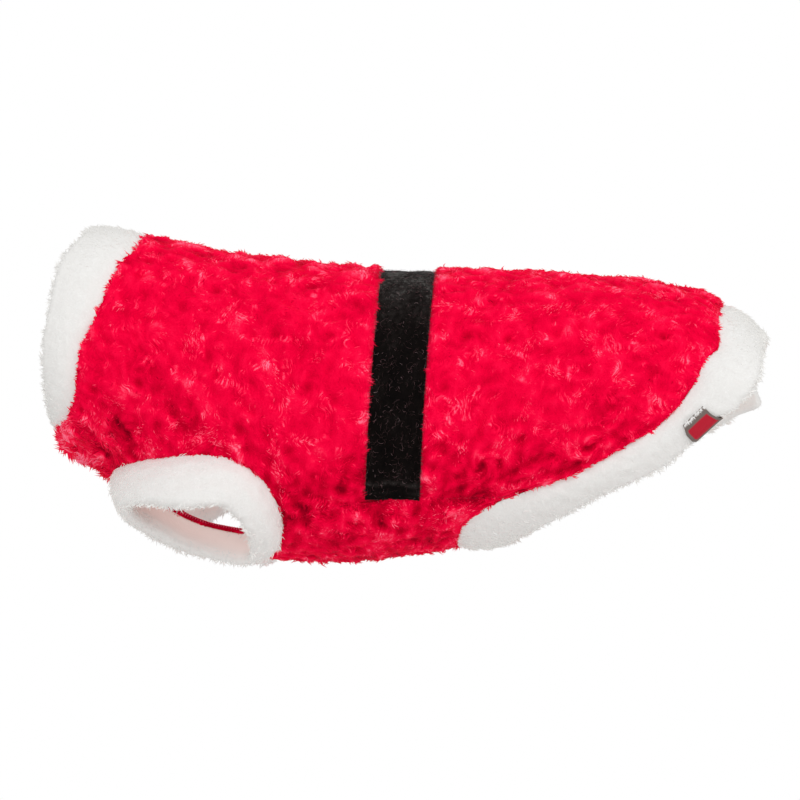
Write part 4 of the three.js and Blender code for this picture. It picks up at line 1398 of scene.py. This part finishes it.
def makeBeltLint(surface):
    # Stray curled fibres all over the velvet, and a soft fuzz along both of its long edges.
    dice = np.random.default_rng(470)
    count = beltLint["count"]
    spots = scatter(surface["points"], count, 471)
    tone = 0.16 + 0.7 * dice.uniform(size=count) ** 2.2
    lots = [curledFibres(surface, spots, dice.uniform(0, 2 * np.pi, count), beltLint, tone, dice)]
    rowCount, columnCount = surface["x"].shape
    for row, out in ((0.6, np.pi), (rowCount - 1.6, 0.0)):
        count = int(2 * belt["length"] / beltFuzz["every"])
        spots = (row + dice.uniform(-0.5, 0.5, count), dice.uniform(4, columnCount - 5, count))
        tone = 0.15 + 0.5 * dice.uniform(size=count)
        way = out + 0.9 * dice.normal(size=count)
        lots.append(curledFibres(surface, spots, way, beltFuzz, tone, dice))
    before = np.cumsum([0] + [len(lot[0]) for lot in lots])
    faces = [face + start for lot, start in zip(lots, before) for face in lot[1]]
    piece = makeMesh("belt_lint", np.concatenate([lot[0] for lot in lots]), faces, lintMaterial,
                     tone=np.concatenate([lot[2] for lot in lots]))
    return piece


beltPiece, beltSurface = makeBelt()
beltLintPiece = makeBeltLint(beltSurface)
print("belt made")


label = {
    "turns": (100.4, 110.0), "slant": 6.9, "lift": 0.35, "wall": 0.9, "top": 0.52, "inside": 0.85,
    "strip": 21, "stripe": (0.46, 0.78), "weave": 0.36, "rows": 49, "columns": 41,
}
labelFurSize = {
    "count": 150, "length": (1.2, 3.2), "width": (0.35, 0.7), "lift": (16, 34), "curl": 0.1,
    "tip": 0.03,
}


def labelMaterial():
    # Woven tape: two sets of ridges across each other by the tab's own coordinates, and a
    # plain coloured stripe along its middle.
    material, tree, shader = newMaterial("wovenTab")
    waves = []
    for key in ("tabAcross", "tabAlong"):
        turns = math(tree, "MULTIPLY", attribute(tree, key), 2 * np.pi / label["weave"])
        waves.append(math(tree, "SINE", turns))
    weave = math(tree, "MULTIPLY", *waves)
    bump = addNode(tree, "Bump", {"Strength": 0.5, "Distance": 0.0003, "Height": weave})
    # the weave's height also lightens its threads and darkens between them: painted shade with the bump
    grain = addNode(tree, "MapRange", {"Value": weave, "From Min": -1, "To Min": 0.82, "To Max": 1.08})
    shades = {"Factor": attribute(tree, "stripe"), "A": colour(122, 110, 104), "B": colour(196, 26, 50)}
    mix = addNode(tree, "Mix", shades, data_type="RGBA")
    scaled = {0: mix.outputs["Result"], "Scale": grain.outputs["Result"]}
    shade = addNode(tree, "VectorMath", scaled, operation="SCALE")
    feed(tree, shader, {
        "Base Color": shade.outputs[0], "Normal": bump.outputs["Normal"], "Roughness": 0.7,
        "Specular IOR Level": 0.2,
    })
    return material


def makeLabel():
    # A tab folded over the hem's edge: its section follows the trim's, moved out by the lift,
    # at even turns between the tab's two sides. The table gives the way along the strip, out
    # of the cloth and past the edge, from the tab's end inside to its upper edge outside.
    count, steps = label["rows"], label["columns"]
    table = np.array([
        (label["inside"], -0.98, 0.0), (1, -0.86, 0.45), (1, -0.32, 0.95), (1, 0.34, 0.95),
        (1, 0.88, 0.5), (0.86, 1.10, 0), (label["top"], 1.16, 0),
    ])
    reach = sectionLengths(table, label["strip"])
    at = np.linspace(0, reach[-1], steps)
    along, out, past = (np.interp(at, reach, table[:, k])[None, :, None] for k in range(3))
    # the hem's section is aslant to its edge, so the tab's upper rows are moved towards the tail
    turn = np.linspace(*label["turns"], count)[:, None] - label["slant"] * (1 - along[..., 0])
    stations = hemStationsAt(turn)
    root, run, side = trimFrame(stations)
    away = side * out + run * past
    base = root * (1 - along) + stations["lip"] * along + away * cloth["trimReach"] / 2
    sag = 0.25 * np.sin(np.linspace(0, np.pi, count))[:, None, None]
    outside = base + unit(away) * (label["lift"] + label["wall"] + sag)
    inside = (base + unit(away) * label["lift"])[::4, ::4]
    points, faces = shell(outside, inside, 4)
    across = np.broadcast_to(np.linspace(0, 1, count)[:, None], (count, steps))
    down = np.broadcast_to(at[None, :] / at[-1], (count, steps))
    low, high = label["stripe"]
    inStripe = smooth(low - 0.01, low + 0.01, down) * (1 - smooth(high - 0.01, high + 0.01, down))
    inStripe = inStripe * smooth(0.08, 0.1, across) * (1 - smooth(0.9, 0.92, across))
    wide = np.linalg.norm(outside[-1, steps // 2] - outside[0, steps // 2])
    fill = lambda grid: np.concatenate([grid.ravel(), grid[::4, ::4].ravel()])
    piece = makeMesh("woven_label", points, faces, labelMaterial(), tabAcross=fill(across * wide),
                     tabAlong=fill(down * at[-1]), stripe=fill(inStripe))
    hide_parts("label")
    normals = gridNormals(outside, outside - inside[:1, :1])
    return piece, outside[:, -1], unit(outside[:, -1] - outside[:, -3]), normals[:, -1]


def makeLabelFur(edge, up, normal):
    # Fur of the trim that hangs over the tab's upper edge.
    dice = np.random.default_rng(510)
    count = labelFurSize["count"]
    spot = dice.uniform(0, len(edge) - 1.001, count)
    low, part = np.floor(spot).astype(int), (spot - np.floor(spot))[:, None]
    edge, up, normal = (grid[low] * (1 - part) + grid[low + 1] * part for grid in (edge, up, normal))
    root = edge + up * dice.uniform(0.2, 0.9, count)[:, None] - normal * 0.5
    comb = -up + 0.3 * dice.normal(size=root.shape)
    size = {key: dice.uniform(*labelFurSize[key], count) for key in ("length", "width", "lift")}
    size["curl"] = labelFurSize["curl"] * dice.normal(size=count)
    size["tone"] = 0.62 + 0.04 * dice.normal(size=count)
    size["root"], size["tip"] = np.zeros(count), np.full(count, labelFurSize["tip"])
    fur = strands("hem_fur_over_label", root, unit(normal), comb, size, furTips)
    return fur


labelPiece, *labelEdge = makeLabel()
labelFur = makeLabelFur(*labelEdge)
print("label made")


# lengths in metres from here on
stage = {"drop": 0.16, "side": 6.0, "floor": (244, 244, 243), "dim": 0.72}
lamps = {"key": ((-0.6, -1.7, 1.3), 13), "fill": ((0.9, -1.9, 0.1), 4), "side": ((1.7, -0.9, 0.9), 8.5)}
lampSize, lampAim = 1.3, (0, 0, -0.06)
camera = {
    "azimuth": 6.5, "elevation": -3.0, "lens": 300.0, "width": 0.412, "right": -0.0045, "up": -0.0026,
}


def makeStage():
    # A floor some way below, and a world that is white to look at and dimmer as light.
    z = cadBox[0].z - stage["drop"]
    s = stage["side"] / 2
    mesh = bpy.data.meshes.new("floor")
    mesh.from_pydata([(-s, -s, z), (s, -s, z), (s, s, z), (-s, s, z)], [], [(0, 1, 2, 3)])
    floor = bpy.data.objects.new("floor", mesh)
    bpy.context.scene.collection.objects.link(floor)
    material, tree, shader = newMaterial("floorPaint")
    feed(tree, shader, {"Base Color": colour(*stage["floor"]), "Roughness": 0.9})
    mesh.materials.append(material)
    world = bpy.data.worlds.new("studio")
    world.use_nodes = True
    tree = world.node_tree
    ray = tree.nodes.new("ShaderNodeLightPath").outputs["Is Camera Ray"]
    bright = addNode(tree, "MapRange", {"Value": ray, "To Min": stage["dim"], "To Max": 1.0})
    feed(tree, tree.nodes["Background"], {"Color": (1, 1, 1, 1), "Strength": bright.outputs["Result"]})
    bpy.context.scene.world = world


def makeLight(name, place, power):
    # A round lamp that faces the coat.
    light = bpy.data.lights.new(name, "AREA")
    light.shape = "DISK"
    light.size = lampSize
    light.energy = power
    lamp = bpy.data.objects.new(name, light)
    lamp.location = place
    lamp.rotation_mode = "QUATERNION"
    lamp.rotation_quaternion = (Vector(lampAim) - Vector(place)).to_track_quat("-Z", "Y")
    bpy.context.scene.collection.objects.link(lamp)


def makeCamera():
    # The eye looks at the coat's middle, so far off that the given width fills the picture.
    low, high = cadBox
    aim = (low + high) / 2 + Vector((camera["right"], 0, camera["up"]))
    a, e = np.radians(camera["azimuth"]), np.radians(camera["elevation"])
    back = Vector((np.sin(a) * np.cos(e), -np.cos(a) * np.cos(e), np.sin(e)))
    data = bpy.data.cameras.new("camera")
    data.lens = camera["lens"]
    data.clip_end = 50
    eye = bpy.data.objects.new("camera", data)
    eye.location = aim + back * (camera["width"] * camera["lens"] / data.sensor_width)
    eye.rotation_mode = "QUATERNION"
    eye.rotation_quaternion = (-back).to_track_quat("-Z", "Y")
    bpy.context.scene.collection.objects.link(eye)
    bpy.context.scene.camera = eye


makeStage()
for name, (place, power) in lamps.items():
    makeLight(name, place, power)
makeCamera()
bpy.context.scene.view_settings.view_transform = "Standard"
print("stage made")


everything = [piece for piece in bpy.data.objects if piece.type == "MESH" and not piece.hide_render]
print("triangles:", sum(len(face.vertices) - 2 for piece in everything for face in piece.data.polygons))
